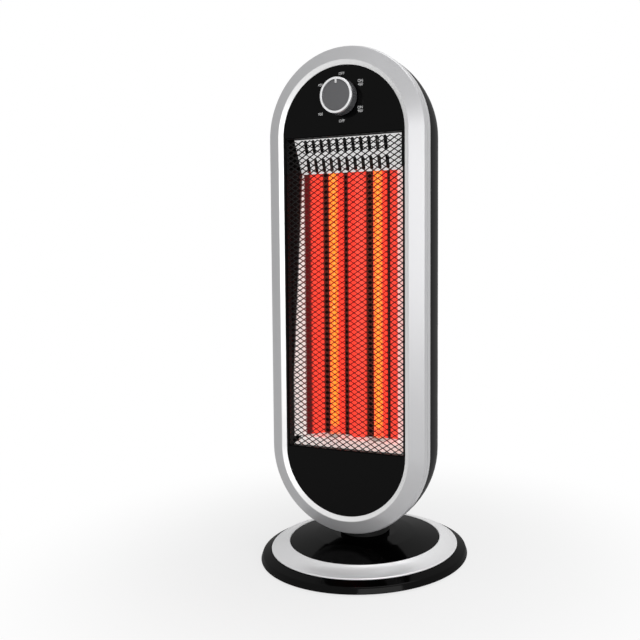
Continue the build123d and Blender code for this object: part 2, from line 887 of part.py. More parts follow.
with BuildPart() as knob:
    with BuildSketch(upright(knob_back_y)):
        with Locations((0, dial_z)):
            Circle(knob_radius)
    extrude(amount=knob_back_y - knob_face_y)
    fillet(knob.faces().sort_by(Axis.Y)[0].edges(), radius=knob_rim / 2)
    with BuildSketch(upright(knob_face_y)):
        with Locations((0, dial_z)):
            Circle(face_radius)
        with Locations((0, pointer_rise)):
            Rectangle(pointer_width, pointer_length, mode=Mode.SUBTRACT)
    extrude(amount=knob_face_y - face_back_y, mode=Mode.SUBTRACT)
    with BuildSketch(upright(knob_back_y)):
        with Locations((0, dial_z)):
            Circle(knob_radius - knob_wall)
            Circle(shaft_diameter / 2 + knob_wall, mode=Mode.SUBTRACT)
    extrude(amount=knob_back_y - shaft_front_y, mode=Mode.SUBTRACT)
    with BuildSketch(upright(knob_back_y)):
        with Locations((0, dial_z)):
            Circle(nut_width / 2 + knob_wall)
    extrude(amount=nut_thickness, mode=Mode.SUBTRACT)
    with BuildSketch(upright(knob_back_y)):
        with Locations((0, dial_z)):
            Circle(shaft_diameter / 2)
    extrude(amount=knob_back_y - shaft_front_y, mode=Mode.SUBTRACT)
write(knob.part, "knob")

with BuildPart() as knob_face:
    with BuildSketch(upright(face_back_y)):
        with Locations((0, dial_z)):
            Circle(face_radius - slide_gap)
        with Locations((0, pointer_rise)):
            Rectangle(
                pointer_width + 2 * slide_gap,
                pointer_length + 2 * slide_gap,
                mode=Mode.SUBTRACT,
            )
    extrude(amount=face_thickness)
write(knob_face.part, "knob_face")

# Rear cover: the head's deep shell, with a lip into the bezel, posts, vents and a hand grip
grip_z = end_high + grip_rise
post_places = shell_places(shell_post_out)
inner_half = band_half - shell_wall
lip_back_y = shell_joint_y + spigot_length
lip_front_y = shell_joint_y - spigot_length
with BuildSketch() as lip_section:
    with BuildLine():
        Polyline(
            (inner_half - slide_gap - spigot_wall, lip_front_y),
            (inner_half - slide_gap, lip_front_y),
            (inner_half - slide_gap, shell_joint_y),
            (inner_half + slide_gap, shell_joint_y),
            (inner_half + slide_gap, lip_back_y),
            (inner_half - slide_gap - spigot_wall, lip_back_y),
            close=True,
        )
    make_face()

with BuildPart() as cavity:
    add(carry(head_section(-shell_wall)))
    with BuildSketch(upright(shell_joint_y)):
        with Locations(*post_places):
            Circle(rear_post_radius)
    extrude(amount=shell_joint_y - back_y, mode=Mode.SUBTRACT)
    with BuildSketch(upright(back_y)):
        with Locations((0, grip_z)):
            Rectangle(grip_width + 2 * shell_wall, grip_height + 2 * shell_wall)
    extrude(amount=grip_depth + shell_wall, mode=Mode.SUBTRACT)

with BuildPart() as rear_cover:
    add(carry(head_section()))
    add(cavity.part, mode=Mode.SUBTRACT)
    add(carry(lip_section.sketch))
    with BuildSketch(upright(lip_back_y)):
        with Locations(*post_places):
            Circle(rear_post_radius)
    extrude(amount=lip_back_y - shell_post_end_y)
    with BuildSketch(upright(back_y)):
        with Locations(*post_places):
            Circle(rear_well_radius)
    extrude(amount=back_y - rear_well_y, mode=Mode.SUBTRACT)
    with BuildSketch(upright(back_y)):
        with Locations(*post_places):
            Circle(hole_radius)
    extrude(amount=back_y - shell_post_end_y, mode=Mode.SUBTRACT)
    with BuildSketch(upright(back_y)):
        with Locations((0, grip_z)):
            RectangleRounded(grip_width, grip_height, shell_wall)
    extrude(amount=grip_depth, mode=Mode.SUBTRACT)
    with BuildSketch(upright(back_y)):
        for group_z in (end_low + vent_group_inset, end_high - vent_group_inset):
            with Locations((0, group_z)):
                with GridLocations(0, vent_slot_pitch, 1, vent_slot_rows):
                    SlotOverall(vent_slot_length, vent_slot_width)
    extrude(amount=2 * shell_wall, mode=Mode.SUBTRACT)
    with BuildSketch():
        Circle(neck_upper_diameter / 2 + saddle_gap)
    extrude(amount=neck_top_z, mode=Mode.SUBTRACT)
write(rear_cover.part, "rear_cover")

# Swivel neck: a hollow column saddled under the head, its lower spigot turning in the base
neck_places = around(neck_screw_circle, 30, 90, 150)
sector_places = around(sector_screw_circle, 90, 210, 330)
with BuildPart() as swivel_neck:
    with BuildSketch(Plane.XY.offset(neck_seat_z)):
        Circle(neck_diameter / 2)
    extrude(amount=neck_top_z - neck_seat_z)
    add(carry(head_section(saddle_gap)), mode=Mode.SUBTRACT)
    with BuildSketch(Plane.XY.offset(neck_seat_z)):
        Circle(neck_upper_diameter / 2)
    extrude(amount=neck_top_z - neck_seat_z)
    with BuildSketch(Plane.XY.offset(sector_top_z)):
        Circle(neck_spigot_diameter / 2)
    extrude(amount=neck_seat_z - sector_top_z)
    with BuildSketch(Plane.XY.offset(sector_top_z)):
        Circle(neck_bore / 2)
    extrude(amount=neck_top_z - sector_top_z, mode=Mode.SUBTRACT)
    with BuildSketch(Plane.XY.offset(neck_top_z)):
        with Locations(*neck_places):
            Circle(hole_radius)
    extrude(amount=-neck_screw_length, mode=Mode.SUBTRACT)
    with BuildSketch(Plane.XY.offset(sector_top_z)):
        with Locations(*sector_places):
            Circle(hole_radius)
    extrude(amount=sector_screw_length, mode=Mode.SUBTRACT)
write(swivel_neck.part, "swivel_neck")

# Neck bracket: an angle from the top of the neck to the back of the chassis
leg_back_y = chassis_rear_y + neck_bracket_thickness
with BuildPart() as neck_bracket:
    with BuildSketch(Plane.XY.offset(neck_top_z)):
        with Locations((0, (chassis_rear_y + neck_bracket_back) / 2)):
            Rectangle(neck_bracket_width, neck_bracket_back - chassis_rear_y)
        with Locations(*neck_places):
            Circle(hole_radius, mode=Mode.SUBTRACT)
        Circle(neck_bore / 2, mode=Mode.SUBTRACT)
    extrude(amount=neck_bracket_thickness)
    with BuildSketch(upright(leg_back_y)):
        with Locations((0, neck_top_z + neck_bracket_rise / 2)):
            Rectangle(neck_bracket_width, neck_bracket_rise)
        with Locations(*neck_leg_places):
            Circle(hole_radius, mode=Mode.SUBTRACT)
    extrude(amount=neck_bracket_thickness)
write(neck_bracket.part, "neck_bracket")

# Swing gearing: a toothed sector under the neck, driven by a pinion behind it
sector_root = sector_radius - dedendum
sector_span = sector_teeth_cut * 360 / sector_teeth
with BuildPart() as toothed_sector:
    with BuildSketch(Plane.XY.offset(sector_bottom_z)):
        Circle(sector_hub_radius)
        with BuildLine():
            rim = CenterArc((0, 0), sector_root, 90 - sector_span / 2, sector_span)
            Line((0, 0), rim @ 0)
            Line(rim @ 1, (0, 0))
        make_face()
        with PolarLocations(0, sector_teeth_cut, 90 - sector_span / 2 + 180 / sector_teeth, sector_span):
            Polygon(*gear_tooth(sector_teeth), align=None)
        Circle(neck_bore / 2, mode=Mode.SUBTRACT)
        with Locations(*sector_places):
            Circle(hole_radius, mode=Mode.SUBTRACT)
    extrude(amount=gear_thickness)
write(toothed_sector.part, "toothed_sector")

with BuildPart() as drive_pinion:
    with BuildSketch(Plane.XY.offset(sector_bottom_z)):
        with Locations((0, motor_y)):
            Circle(pinion_radius - dedendum)
            with PolarLocations(0, pinion_teeth, 90 + 180 / pinion_teeth):
                Polygon(*gear_tooth(pinion_teeth), align=None)
            Circle(motor_shaft_diameter / 2, mode=Mode.SUBTRACT)
    extrude(amount=gear_thickness)
write(drive_pinion.part, "drive_pinion")

# Gearmotor on two standoffs, with its shaft up through the pinion
motor_bottom_z = plate_top_z + motor_lift
motor_top_z = motor_bottom_z + motor_height
boss_top_z = motor_top_z + motor_boss_height
ear_bottom_z = motor_top_z - motor_ear_thickness
ear_places = [(s * motor_ear_reach, motor_y) for s in (-1, 1)]
with BuildPart() as oscillation_motor:
    with BuildSketch(Plane.XY.offset(motor_bottom_z)):
        with Locations((0, motor_y)):
            Circle(motor_diameter / 2)
    extrude(amount=motor_height)
    with BuildSketch(Plane.XY.offset(motor_top_z)):
        with Locations((0, motor_y)):
            Circle(motor_boss_radius)
    extrude(amount=motor_boss_height)
    with BuildSketch(Plane.XY.offset(ear_bottom_z)):
        with Locations((0, motor_y)):
            SlotCenterToCenter(2 * motor_ear_reach, 2 * motor_ear_radius)
        with Locations(*ear_places):
            Circle(hole_radius, mode=Mode.SUBTRACT)
    extrude(amount=motor_ear_thickness)
    with BuildSketch(Plane.XY.offset(boss_top_z)):
        with Locations((0, motor_y)):
            Circle(motor_shaft_diameter / 2 + shaft_fit)
    extrude(amount=-motor_boss_height, mode=Mode.SUBTRACT)
write(oscillation_motor.part, "oscillation_motor")

with BuildPart() as motor_shaft:
    with BuildSketch(Plane.XY.offset(motor_top_z + running_gap)):
        with Locations((0, motor_y)):
            Circle(motor_shaft_diameter / 2)
    extrude(amount=sector_top_z + motor_shaft_proud - motor_top_z - running_gap)
write(motor_shaft.part, "motor_shaft")

with BuildPart() as motor_standoffs:
    with BuildSketch(Plane.XY.offset(plate_top_z)):
        with Locations(*ear_places):
            Circle(standoff_radius)
            Circle(hole_radius, mode=Mode.SUBTRACT)
    extrude(amount=ear_bottom_z - plate_top_z)
write(motor_standoffs.part, "motor_standoffs")

foot_places = around(foot_circle_radius, *(360 / foot_count * n for n in range(foot_count)))
cover_places = around(base_boss_circle, *(360 / foot_count * (n + 0.5) for n in range(foot_count)))

# Base cover: skirt, seat for the trim ring, low dome and the hub the neck turns in
trim_slope = (trim_inner_z - trim_outer_z) / (trim_outer_radius - trim_inner_radius)
trim_tilt = math.degrees(math.atan(trim_slope))
seat_drop = trim_thickness / math.cos(math.radians(trim_tilt))
seat_inner = trim_inner_radius - trim_seat_margin
seat_outer = trim_outer_radius + slide_gap
seat_inner_z = trim_inner_z + trim_seat_margin * trim_slope - seat_drop
seat_outer_z = trim_outer_z - slide_gap * trim_slope - seat_drop
with BuildPart() as base_cover:
    with BuildSketch(Plane.XZ):
        with BuildLine():
            Polyline(
                (0, hub_top_z),
                (dome_top_radius, hub_top_z),
                (dome_shoulder_radius, dome_shoulder_z),
                (seat_inner, trim_inner_z),
                (seat_inner, seat_inner_z),
                (seat_outer, seat_outer_z),
                (seat_outer, trim_outer_z - skirt_step),
                (skirt_knee_radius, skirt_knee_z),
                (base_radius, skirt_bottom_z),
                (base_radius, -base_wall * 2),
                (0, -base_wall * 2),
                close=True,
            )
        make_face()
        offset(amount=-base_wall, kind=Kind.INTERSECTION, mode=Mode.SUBTRACT)
    revolve(axis=Axis.Z)
    split(bisect_by=Plane.XY.offset(skirt_bottom_z), keep=Keep.TOP)
    with BuildSketch(Plane.XY.offset(hub_bottom_z)):
        Circle(neck_spigot_diameter / 2 + hub_fit + hub_wall)
    extrude(amount=hub_top_z - hub_bottom_z)
    with BuildSketch():
        Circle(neck_spigot_diameter / 2 + hub_fit)
    extrude(amount=hub_top_z, mode=Mode.SUBTRACT)
    boss_reach = seat_outer - base_boss_circle - base_boss_radius
    boss_top = seat_outer_z + boss_reach * trim_slope - running_gap
    with BuildSketch(Plane.XY.offset(plate_top_z)):
        with Locations(*cover_places):
            Circle(base_boss_radius)
    extrude(amount=boss_top - plate_top_z)
    with BuildSketch(Plane.XY.offset(plate_top_z)):
        with Locations(*cover_places):
            Circle(hole_radius)
    extrude(amount=base_screw_length, mode=Mode.SUBTRACT)
    with BuildSketch(upright(inlet_outer_y + base_wall)):
        with Locations((0, inlet_z)):
            Circle(inlet_radius + inlet_fit)
    extrude(amount=inlet_outer_y + base_wall - inlet_inner_y, mode=Mode.SUBTRACT)
write(base_cover.part, "base_cover")

# Trim ring: a sloping silver band with a rolled bead at each edge
trim_run = math.hypot(trim_outer_radius - trim_inner_radius, trim_inner_z - trim_outer_z)
bead_reach = trim_run / 2 - trim_bead_radius
bead_rise = trim_bead_radius - trim_thickness
trim_centre = (
    (trim_inner_radius + trim_outer_radius) / 2,
    (trim_inner_z + trim_outer_z) / 2,
)
with BuildPart() as base_trim_ring:
    with BuildSketch(Plane.XZ):
        with Locations(Location((*trim_centre, 0), (0, 0, -trim_tilt))):
            with Locations((0, -trim_thickness / 2)):
                Rectangle(trim_run, trim_thickness)
            with Locations((-bead_reach, bead_rise), (bead_reach, bead_rise)):
                Circle(trim_bead_radius)
    revolve(axis=Axis.Z)
write(base_trim_ring.part, "base_trim_ring")

# Floor plate of the base, its screws, its feet and the counterweight
tip_leg_places = [
    (tip_x + s * (tip_switch_length - tip_leg_length) / 2, tip_y) for s in (-1, 1)
]
terminal_places = [(terminal_x + s * terminal_length / 3, terminal_y) for s in (-1, 1)]
weight_circle = (weight_outer_radius + weight_inner_radius) / 2
weight_places = around(weight_circle, 180, 270, 360)
base_screw_places = [
    *cover_places,
    *weight_places,
    *tip_leg_places,
    *terminal_places,
    *ear_places,
]
with BuildPart() as base_plate:
    with BuildSketch(Plane.XY.offset(plate_bottom_z)):
        Circle(plate_radius)
        with Locations(*base_screw_places):
            Circle(hole_radius, mode=Mode.SUBTRACT)
        with Locations(*foot_places):
            Circle(foot_plug_radius + inlet_fit, mode=Mode.SUBTRACT)
        with Locations((tip_x, tip_y)):
            Circle(plunger_diameter / 2 + plunger_fit, mode=Mode.SUBTRACT)
        with Locations((0, plate_radius)):
            notch_depth = plate_radius - inlet_inner_y + base_wall
            Rectangle(2 * (inlet_radius + base_wall), 2 * notch_depth, mode=Mode.SUBTRACT)
    extrude(amount=plate_thickness)
write(base_plate.part, "base_plate")

base_screw_plane = Plane(origin=(0, 0, plate_bottom_z), x_dir=(1, 0, 0), z_dir=(0, 0, -1))
flipped = [(x, -y) for x, y in base_screw_places]
write(screws(base_screw_plane, flipped, base_screw_length), "base_screws")

with BuildPart() as rubber_feet:
    with BuildSketch():
        with Locations(*foot_places):
            Circle(foot_radius)
    extrude(amount=plate_bottom_z)
    with BuildSketch(Plane.XY.offset(plate_bottom_z)):
        with Locations(*foot_places):
            Circle(foot_plug_radius)
    extrude(amount=foot_plug_rise)
write(rubber_feet.part, "rubber_feet")

with BuildPart() as counterweight:
    with BuildSketch(Plane.XY.offset(plate_top_z)):
        Circle(weight_outer_radius)
        Circle(weight_inner_radius, mode=Mode.SUBTRACT)
        with Locations((0, weight_outer_radius)):
            Rectangle(weight_gap_width, 2 * weight_outer_radius, mode=Mode.SUBTRACT)
        with Locations(*weight_places):
            Circle(hole_radius, mode=Mode.SUBTRACT)
    extrude(amount=weight_thickness)
write(counterweight.part, "counterweight")

# Washers: one the neck rides on and one under the hub that stops it lifting
for label, washer_z, thickness, outer in (
    ("thrust_washer", hub_top_z, washer_thickness, neck_diameter / 2 - washer_margin),
    (
        "retaining_washer",
        sector_top_z + running_gap,
        retainer_thickness,
        neck_spigot_diameter / 2 + hub_fit + hub_wall,
    ),
):
    with BuildPart() as washer:
        with BuildSketch(Plane.XY.offset(washer_z)):
            Circle(outer)
            Circle(neck_spigot_diameter / 2 + washer_gap, mode=Mode.SUBTRACT)
        extrude(amount=thickness)
    write(washer.part, label)

# Tip-over switch on two legs, and the plunger that feels the floor
switch_bottom_z = plate_top_z + tip_switch_lift
with BuildPart() as tip_switch:
    with BuildSketch(Plane.XY.offset(switch_bottom_z)):
        with Locations((tip_x, tip_y)):
            Rectangle(tip_switch_length, tip_switch_width)
    extrude(amount=tip_switch_height)
    with BuildSketch(Plane.XY.offset(plate_top_z)):
        with Locations(*tip_leg_places):
            Rectangle(tip_leg_length, tip_switch_width)
    extrude(amount=tip_switch_lift)
    with BuildSketch(Plane.XY.offset(plate_top_z)):
        with Locations(*tip_leg_places):
            Circle(hole_radius)
    extrude(amount=base_screw_length, mode=Mode.SUBTRACT)
write(tip_switch.part, "tip_switch")

plunger_top_z = switch_bottom_z - plunger_top_gap
collar_bottom_z = plate_top_z + plunger_travel + 4 * running_gap
with BuildPart() as tip_plunger:
    with BuildSketch():
        with Locations((tip_x, tip_y)):
            Circle(plunger_diameter / 2)
    extrude(amount=plunger_top_z)
    with BuildSketch(Plane.XY.offset(collar_bottom_z)):
        with Locations((tip_x, tip_y)):
            Circle(plunger_collar / 2)
    extrude(amount=plunger_collar_thickness)
write(tip_plunger.part, "tip_plunger")

# Terminal block, cord bush and the wiring of the base
with BuildPart() as terminal_block:
    with BuildSketch(Plane.XY.offset(plate_top_z)):
        with Locations((terminal_x, terminal_y)):
            Rectangle(terminal_length, terminal_width)
        with Locations(*terminal_places):
            Circle(hole_radius, mode=Mode.SUBTRACT)
    extrude(amount=terminal_height)
write(terminal_block.part, "terminal_block")

with BuildPart() as cord_inlet_bush:
    with BuildSketch(upright(inlet_outer_y)):
        with Locations((0, inlet_z)):
            Circle(inlet_radius)
            Circle(inlet_bore, mode=Mode.SUBTRACT)
    extrude(amount=inlet_outer_y - inlet_inner_y)
write(cord_inlet_bush.part, "cord_inlet_bush")

loom_z = plate_top_z + terminal_height / 2 + running_gap
block_left = terminal_x - terminal_length / 2
block_back = terminal_y + terminal_width / 2
loom_y = terminal_y + loom_offset
loom_break_z = neck_seat_z + running_gap
write(
    wire(
        loom_radius,
        loom_bend,
        (block_left, loom_y, loom_z),
        (0, loom_y, loom_z),
        (0, 0, loom_z),
        (0, 0, loom_break_z),
    ),
    "base_loom",
)

motor_lead_x = terminal_x + lead_offset
motor_lead_y = motor_y - loom_bend
switch_lead_z = switch_bottom_z + lead_radius + slide_gap
with BuildPart() as base_leads:
    add(
        wire(
            lead_radius,
            lead_bend,
            (motor_lead_x, block_back, loom_z),
            (motor_lead_x, motor_lead_y, loom_z),
            (motor_diameter / 2 - slide_gap, motor_lead_y, loom_z),
        )
    )
    with BuildSketch(Plane.YZ.offset(tip_x + tip_switch_length / 2)):
        with Locations((terminal_y - lead_bend, switch_lead_z)):
            Circle(lead_radius)
    extrude(amount=block_left - tip_x - tip_switch_length / 2)
write(base_leads.part, "base_leads")

# Wiring of the head
loom_top = (-spade_circle / 2, dial_z + spade_circle * math.sin(math.radians(60)))
loom_side_y = (chassis_rear_y + back_y) / 2
spade_end_y = switch_back_y + spade_length + running_gap
write(
    wire(
        loom_radius,
        loom_bend,
        (0, 0, loom_break_z + running_gap),
        (0, 0, end_low - loom_rise),
        (0, loom_side_y, end_low + loom_rise / 2),
        (0, loom_side_y, end_high - loom_rise),
        (loom_top[0], loom_side_y / 2, loom_top[1]),
        (loom_top[0], spade_end_y, loom_top[1]),
    ),
    "head_loom",
)

lead_start_z = tube_high_z + running_gap
lead_ends = {
    "left": (-spade_circle / 2, dial_z - spade_circle * math.sin(math.radians(60))),
    "right": (spade_circle, dial_z),
}
for side, (end_x, end_z) in lead_ends.items():
    lead = wire(
        lead_radius,
        lead_bend / 2,
        (tube_sides[side], tube_y, lead_start_z),
        (tube_sides[side], tube_y, end_z),
        (end_x, tube_y, end_z),
        (end_x, spade_end_y, end_z),
    )
    write(lead, f"lead_{side}")

spade_mid_y = cutout_back_y + spade_length / 2
with BuildPart() as lead_return:
    add(
        wire(
            lead_radius,
            lead_bend,
            (tube_sides["left"], tube_y, tube_low_z - running_gap),
            (tube_sides["left"], tube_y, link_z),
            (return_x, tube_y, link_z),
            (return_x, spade_mid_y, link_z),
            (return_x, spade_mid_y, cutout_z - spade_width / 2 - running_gap),
        )
    )
    with BuildSketch(Plane.XY.offset(link_z)):
        with Locations((tube_sides["right"], tube_y)):
            Circle(lead_radius)
    extrude(amount=tube_low_z - running_gap - link_z)
write(lead_return.part, "lead_return")

supply_z = cutout_z + 2 * lead_bend + spade_width
supply = wire(
    lead_radius,
    lead_bend,
    (cutout_x - cutout_spade_reach, spade_mid_y, cutout_z + spade_width / 2 + running_gap),
    (cutout_x - cutout_spade_reach, spade_mid_y, supply_z),
    (cutout_x / 2, loom_side_y, supply_z),
    (loom_radius + running_gap, loom_side_y, supply_z),
)
write(supply, "lead_supply")

# Screws: heads on their plane, shanks through what they clamp
rear_facing = (-1, 0, 0)
front_to_back = (0, 1, 0)
chassis_screw_plane = Plane((0, chassis_flange_back_y, 0), rear_facing, front_to_back)
rear_screw_plane = Plane((0, rear_well_y, 0), rear_facing, front_to_back)
leg_screw_plane = Plane((0, leg_back_y, 0), rear_facing, front_to_back)
pan_screw_plane = Plane((0, chassis_rear_y, 0), rear_facing, front_to_back)
strap_screw_plane = Plane((0, strap_back_y, 0), rear_facing, front_to_back)
write(screws(chassis_screw_plane, side_places(side_screw_out), side_screw_length), "chassis_screws")
rear_screw_length = rear_well_y - shell_post_end_y + shell_screw_depth - slide_gap
write(screws(rear_screw_plane, post_places, rear_screw_length), "rear_screws")
with BuildPart() as pan_screws:
    add(screws(leg_screw_plane, neck_leg_places, sheet_screw_length + neck_bracket_thickness))
    add(screws(pan_screw_plane, pan_places, sheet_screw_length))
    add(screws(strap_screw_plane, [(-x, z) for x, z in cutout_places], sheet_screw_length))
write(pan_screws.part, "pan_screws")
neck_screw_plane = Plane.XY.offset(neck_top_z + neck_bracket_thickness)
write(screws(neck_screw_plane, neck_places, neck_screw_length), "neck_screws")
sector_screw_plane = Plane((0, 0, sector_bottom_z), (1, 0, 0), (0, 0, -1))
sector_under = [(x, -y) for x, y in sector_places]
write(screws(sector_screw_plane, sector_under, sector_screw_length), "sector_screws")
motor_screw_plane = Plane.XY.offset(motor_top_z)
write(screws(motor_screw_plane, ear_places, motor_screw_length), "motor_screws")
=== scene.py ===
import math

import bmesh
import bpy
import numpy as np
from bpy.props import FloatProperty, FloatVectorProperty, IntProperty, PointerProperty
from mathutils import Matrix, Vector


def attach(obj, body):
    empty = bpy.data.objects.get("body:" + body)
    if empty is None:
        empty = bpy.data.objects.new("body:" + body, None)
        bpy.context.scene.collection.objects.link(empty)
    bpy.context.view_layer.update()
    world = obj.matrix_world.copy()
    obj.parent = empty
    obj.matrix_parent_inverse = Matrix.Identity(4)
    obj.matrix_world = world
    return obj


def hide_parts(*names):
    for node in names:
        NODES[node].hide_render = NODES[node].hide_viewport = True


bl_info = {
    "name": "Carbon heater",
    "version": (1, 0, 0),
    "blender": (4, 5, 0),
    "location": "View3D > Sidebar > Heater",
    "description": "Dresses the swinging two-tube carbon heater",
    "category": "Object",
}

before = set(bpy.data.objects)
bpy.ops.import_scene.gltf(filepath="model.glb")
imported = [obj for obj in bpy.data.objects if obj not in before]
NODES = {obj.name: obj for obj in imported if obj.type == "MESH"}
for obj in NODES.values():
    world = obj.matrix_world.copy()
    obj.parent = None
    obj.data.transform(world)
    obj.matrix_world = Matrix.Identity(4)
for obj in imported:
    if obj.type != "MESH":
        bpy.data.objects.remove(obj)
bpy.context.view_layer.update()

MM = 0.001
WELD = 1e-6  # points nearer than this become one

# Places in metres, in the frame that the CAD model shares
END_LOW, END_HIGH = 0.143, 0.516  # heights of the centres of the head's two round ends
DIAL_Z = 0.5575
PANEL_Y = -0.0565
GUARD_Y = -0.0539
TUBE_LOW, TUBE_HIGH = 0.147, 0.501
FILAMENT_INSET = 0.020  # from a tube's end to its hot carbon

# Where painted colour, light and shade change, each fading between a pair of places
CHAMFER = (0.0847, 0.0835)  # distance from the head's middle line
KNOB_RIM = (-0.0690, -0.0698)
HOOD_TOP, HOOD_BACK = (0.5151, 0.5147), (-0.030, -0.033)
REFLECTOR_TOP = (0.4802, 0.4796)
CARBON_FOOT, CARBON_TOP = (0.163, 0.169), (0.4775, 0.4767)
CAPS_SHADE = (0.40, 0.41)
GUARD_LEFT, GUARD_RIGHT = (-0.0597, -0.0563), (0.0597, 0.0563)
GUARD_FOOT, GUARD_TOP = (0.1518, 0.1612), (0.4772, 0.4678)


# Shapes


def grid_mesh(name, points, close_rows=False, close_columns=False, smooth=True):
    """A mesh of quads over a grid of points, rows by columns, each way closed or open, with
    its doubled points merged and its faces outward"""
    rows, columns = points.shape[:2]
    index = np.arange(rows * columns).reshape(rows, columns)
    if close_rows:
        index = np.vstack([index, index[:1]])
    if close_columns:
        index = np.hstack([index, index[:, :1]])
    quads = np.stack([index[:-1, :-1], index[1:, :-1], index[1:, 1:], index[:-1, 1:]], -1)
    mesh = bpy.data.meshes.new(name)
    mesh.from_pydata(points.reshape(-1, 3).tolist(), [], quads.reshape(-1, 4).tolist())
    work = bmesh.new()
    work.from_mesh(mesh)
    bmesh.ops.remove_doubles(work, verts=work.verts, dist=WELD)
    bmesh.ops.recalc_face_normals(work, faces=work.faces)
    work.to_mesh(mesh)
    work.free()
    mesh.polygons.foreach_set("use_smooth", np.full(len(mesh.polygons), smooth))
    mesh.update()
    return mesh


def place(mesh, body, material, slot, *replaced):
    """Links a finished mesh as a piece on its body, in place of the nodes it stands for"""
    piece = bpy.data.objects.new(mesh.name, mesh)
    bpy.context.scene.collection.objects.link(piece)
    mesh.materials.clear()
    mesh.materials.append(material)
    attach(piece, body)
    if replaced:
        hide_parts(*replaced)


def rounded(corners, radii, steps=5, hold=0.2 * MM):
    """A closed profile with each corner turned by an arc: the arc touches both edges at
    radius / tan(half the corner's angle), and a held point stands a hair outside each touch"""
    corners = np.array(corners, float)
    profile = []
    for before, corner, after, radius in zip(
        np.roll(corners, 1, 0), corners, np.roll(corners, -1, 0), radii
    ):
        to_before = (before - corner) / np.linalg.norm(before - corner)
        to_after = (after - corner) / np.linalg.norm(after - corner)
        half = math.acos(np.clip(to_before @ to_after, -1, 1)) / 2
        reach = radius / math.tan(half)
        centre_way = (to_before + to_after) / np.linalg.norm(to_before + to_after)
        centre = corner + centre_way * radius / math.sin(half)
        start, end = corner + to_before * reach, corner + to_after * reach
        share = np.linspace(0, 1, steps + 1)[:, None]
        chord = start * (1 - share) + end * share - centre
        arc = centre + radius * chord / np.linalg.norm(chord, axis=1, keepdims=True)
        profile += [[start + to_before * hold], arc, [end + to_after * hold]]
    return np.vstack(profile)


def carried(profile, turns=72):
    """A profile of (distance out, depth) carried round the head: the point at angle a is
    out * cos(a) across, depth along Y and end centre + out * sin(a) up"""
    upper = np.linspace(0, math.pi, turns)
    angle = np.concatenate([upper, upper + math.pi])
    centre = np.repeat([END_HIGH, END_LOW], turns)
    out, depth = profile[:, 0], profile[:, 1]
    x = np.cos(angle)[:, None] * out
    z = centre[:, None] + np.sin(angle)[:, None] * out
    return np.stack([x, np.broadcast_to(depth, x.shape), z], -1)


def turned(profile, turns=160):
    """A profile of (radius, height) turned about Z: radius * cos(a), radius * sin(a), height"""
    angle = np.linspace(0, 2 * math.pi, turns, endpoint=False)
    x = np.cos(angle)[:, None] * profile[:, 0]
    y = np.sin(angle)[:, None] * profile[:, 0]
    return np.stack([x, y, np.broadcast_to(profile[:, 1], x.shape)], -1)


def about_dial(radius, depth, angle):
    """Points about the dial's axis: radius * cos(angle) across, depth along Y and
    DIAL_Z + radius * sin(angle) up"""
    x, z = radius * np.cos(angle), DIAL_Z + radius * np.sin(angle)
    return np.stack([x, np.broadcast_to(depth, x.shape), z], -1)


def smoothed_node(node, angle=32.0):
    """A node's own mesh, welded, with smooth faces and edges kept sharp above an angle"""
    mesh = NODES[node].data.copy()
    mesh.name = node + "_skin"
    work = bmesh.new()
    work.from_mesh(mesh)
    bmesh.ops.remove_doubles(work, verts=work.verts, dist=WELD)
    limit = math.radians(angle)
    for edge in work.edges:
        edge.smooth = len(edge.link_faces) == 2 and edge.calc_face_angle(0) < limit
    for face in work.faces:
        face.smooth = True
    work.to_mesh(mesh)
    work.free()
    return mesh


# Shader nodes


def feed(tree, socket, value):
    """Links a socket to another node's output, or sets it to a plain value"""
    if isinstance(value, bpy.types.NodeSocket):
        tree.links.new(value, socket)
    else:
        socket.default_value = value


def joined(tree, operation, *values):
    """One value from two or three, each a number or another node's output"""
    math_node = tree.nodes.new("ShaderNodeMath")
    math_node.operation = operation
    for socket, value in zip(math_node.inputs, values):
        feed(tree, socket, value)
    return math_node.outputs[0]


def ranged(tree, value, start=0.0, end=1.0, low=0.0, high=1.0):
    """A value taken from the range start to end onto the range low to high, and held there"""
    span = tree.nodes.new("ShaderNodeMapRange")
    limits = {"Value": value, "From Min": start, "From Max": end, "To Min": low, "To Max": high}
    for name, limit in limits.items():
        feed(tree, span.inputs[name], limit)
    return span.outputs[0]


def along(tree, axis):
    """The place along one of the object's axes"""
    spot, split = tree.nodes.new("ShaderNodeTexCoord"), tree.nodes.new("ShaderNodeSeparateXYZ")
    tree.links.new(spot.outputs["Object"], split.inputs[0])
    return split.outputs[axis]


def level(tree, axis, start, end, low=0.0, high=1.0):
    """A value that goes from low to high between two places along one of the object's axes"""
    return ranged(tree, along(tree, axis), start, end, low, high)


def tinted(tree, share, first, second):
    """A colour mixed from two by a share, each a colour or another node's output"""
    tint = tree.nodes.new("ShaderNodeMix")
    tint.data_type = "RGBA"
    for socket, value in (("A", first), ("B", second)):
        plain_color = not isinstance(value, bpy.types.NodeSocket)
        feed(tree, tint.inputs[socket], (*value, 1) if plain_color else value)
    tree.links.new(share, tint.inputs["Factor"])
    return tint.outputs["Result"]


def across_ramp(tree, stops, reach):
    """A colour that changes across the object, through stops of a place along X in millimetres
    and the colour there, read from -reach to +reach"""
    ramp = tree.nodes.new("ShaderNodeValToRGB")
    ramp.color_ramp.interpolation = "EASE"
    marks = ramp.color_ramp.elements
    ready = len(marks)
    for count, (x, color) in enumerate(stops):
        share = (x * MM + reach) / (2 * reach)
        mark = marks[count] if count < ready else marks.new(share)
        mark.position = share
        mark.color = (*color, 1)
    tree.links.new(level(tree, "X", -reach, reach), ramp.inputs["Fac"])
    return ramp.outputs["Color"]


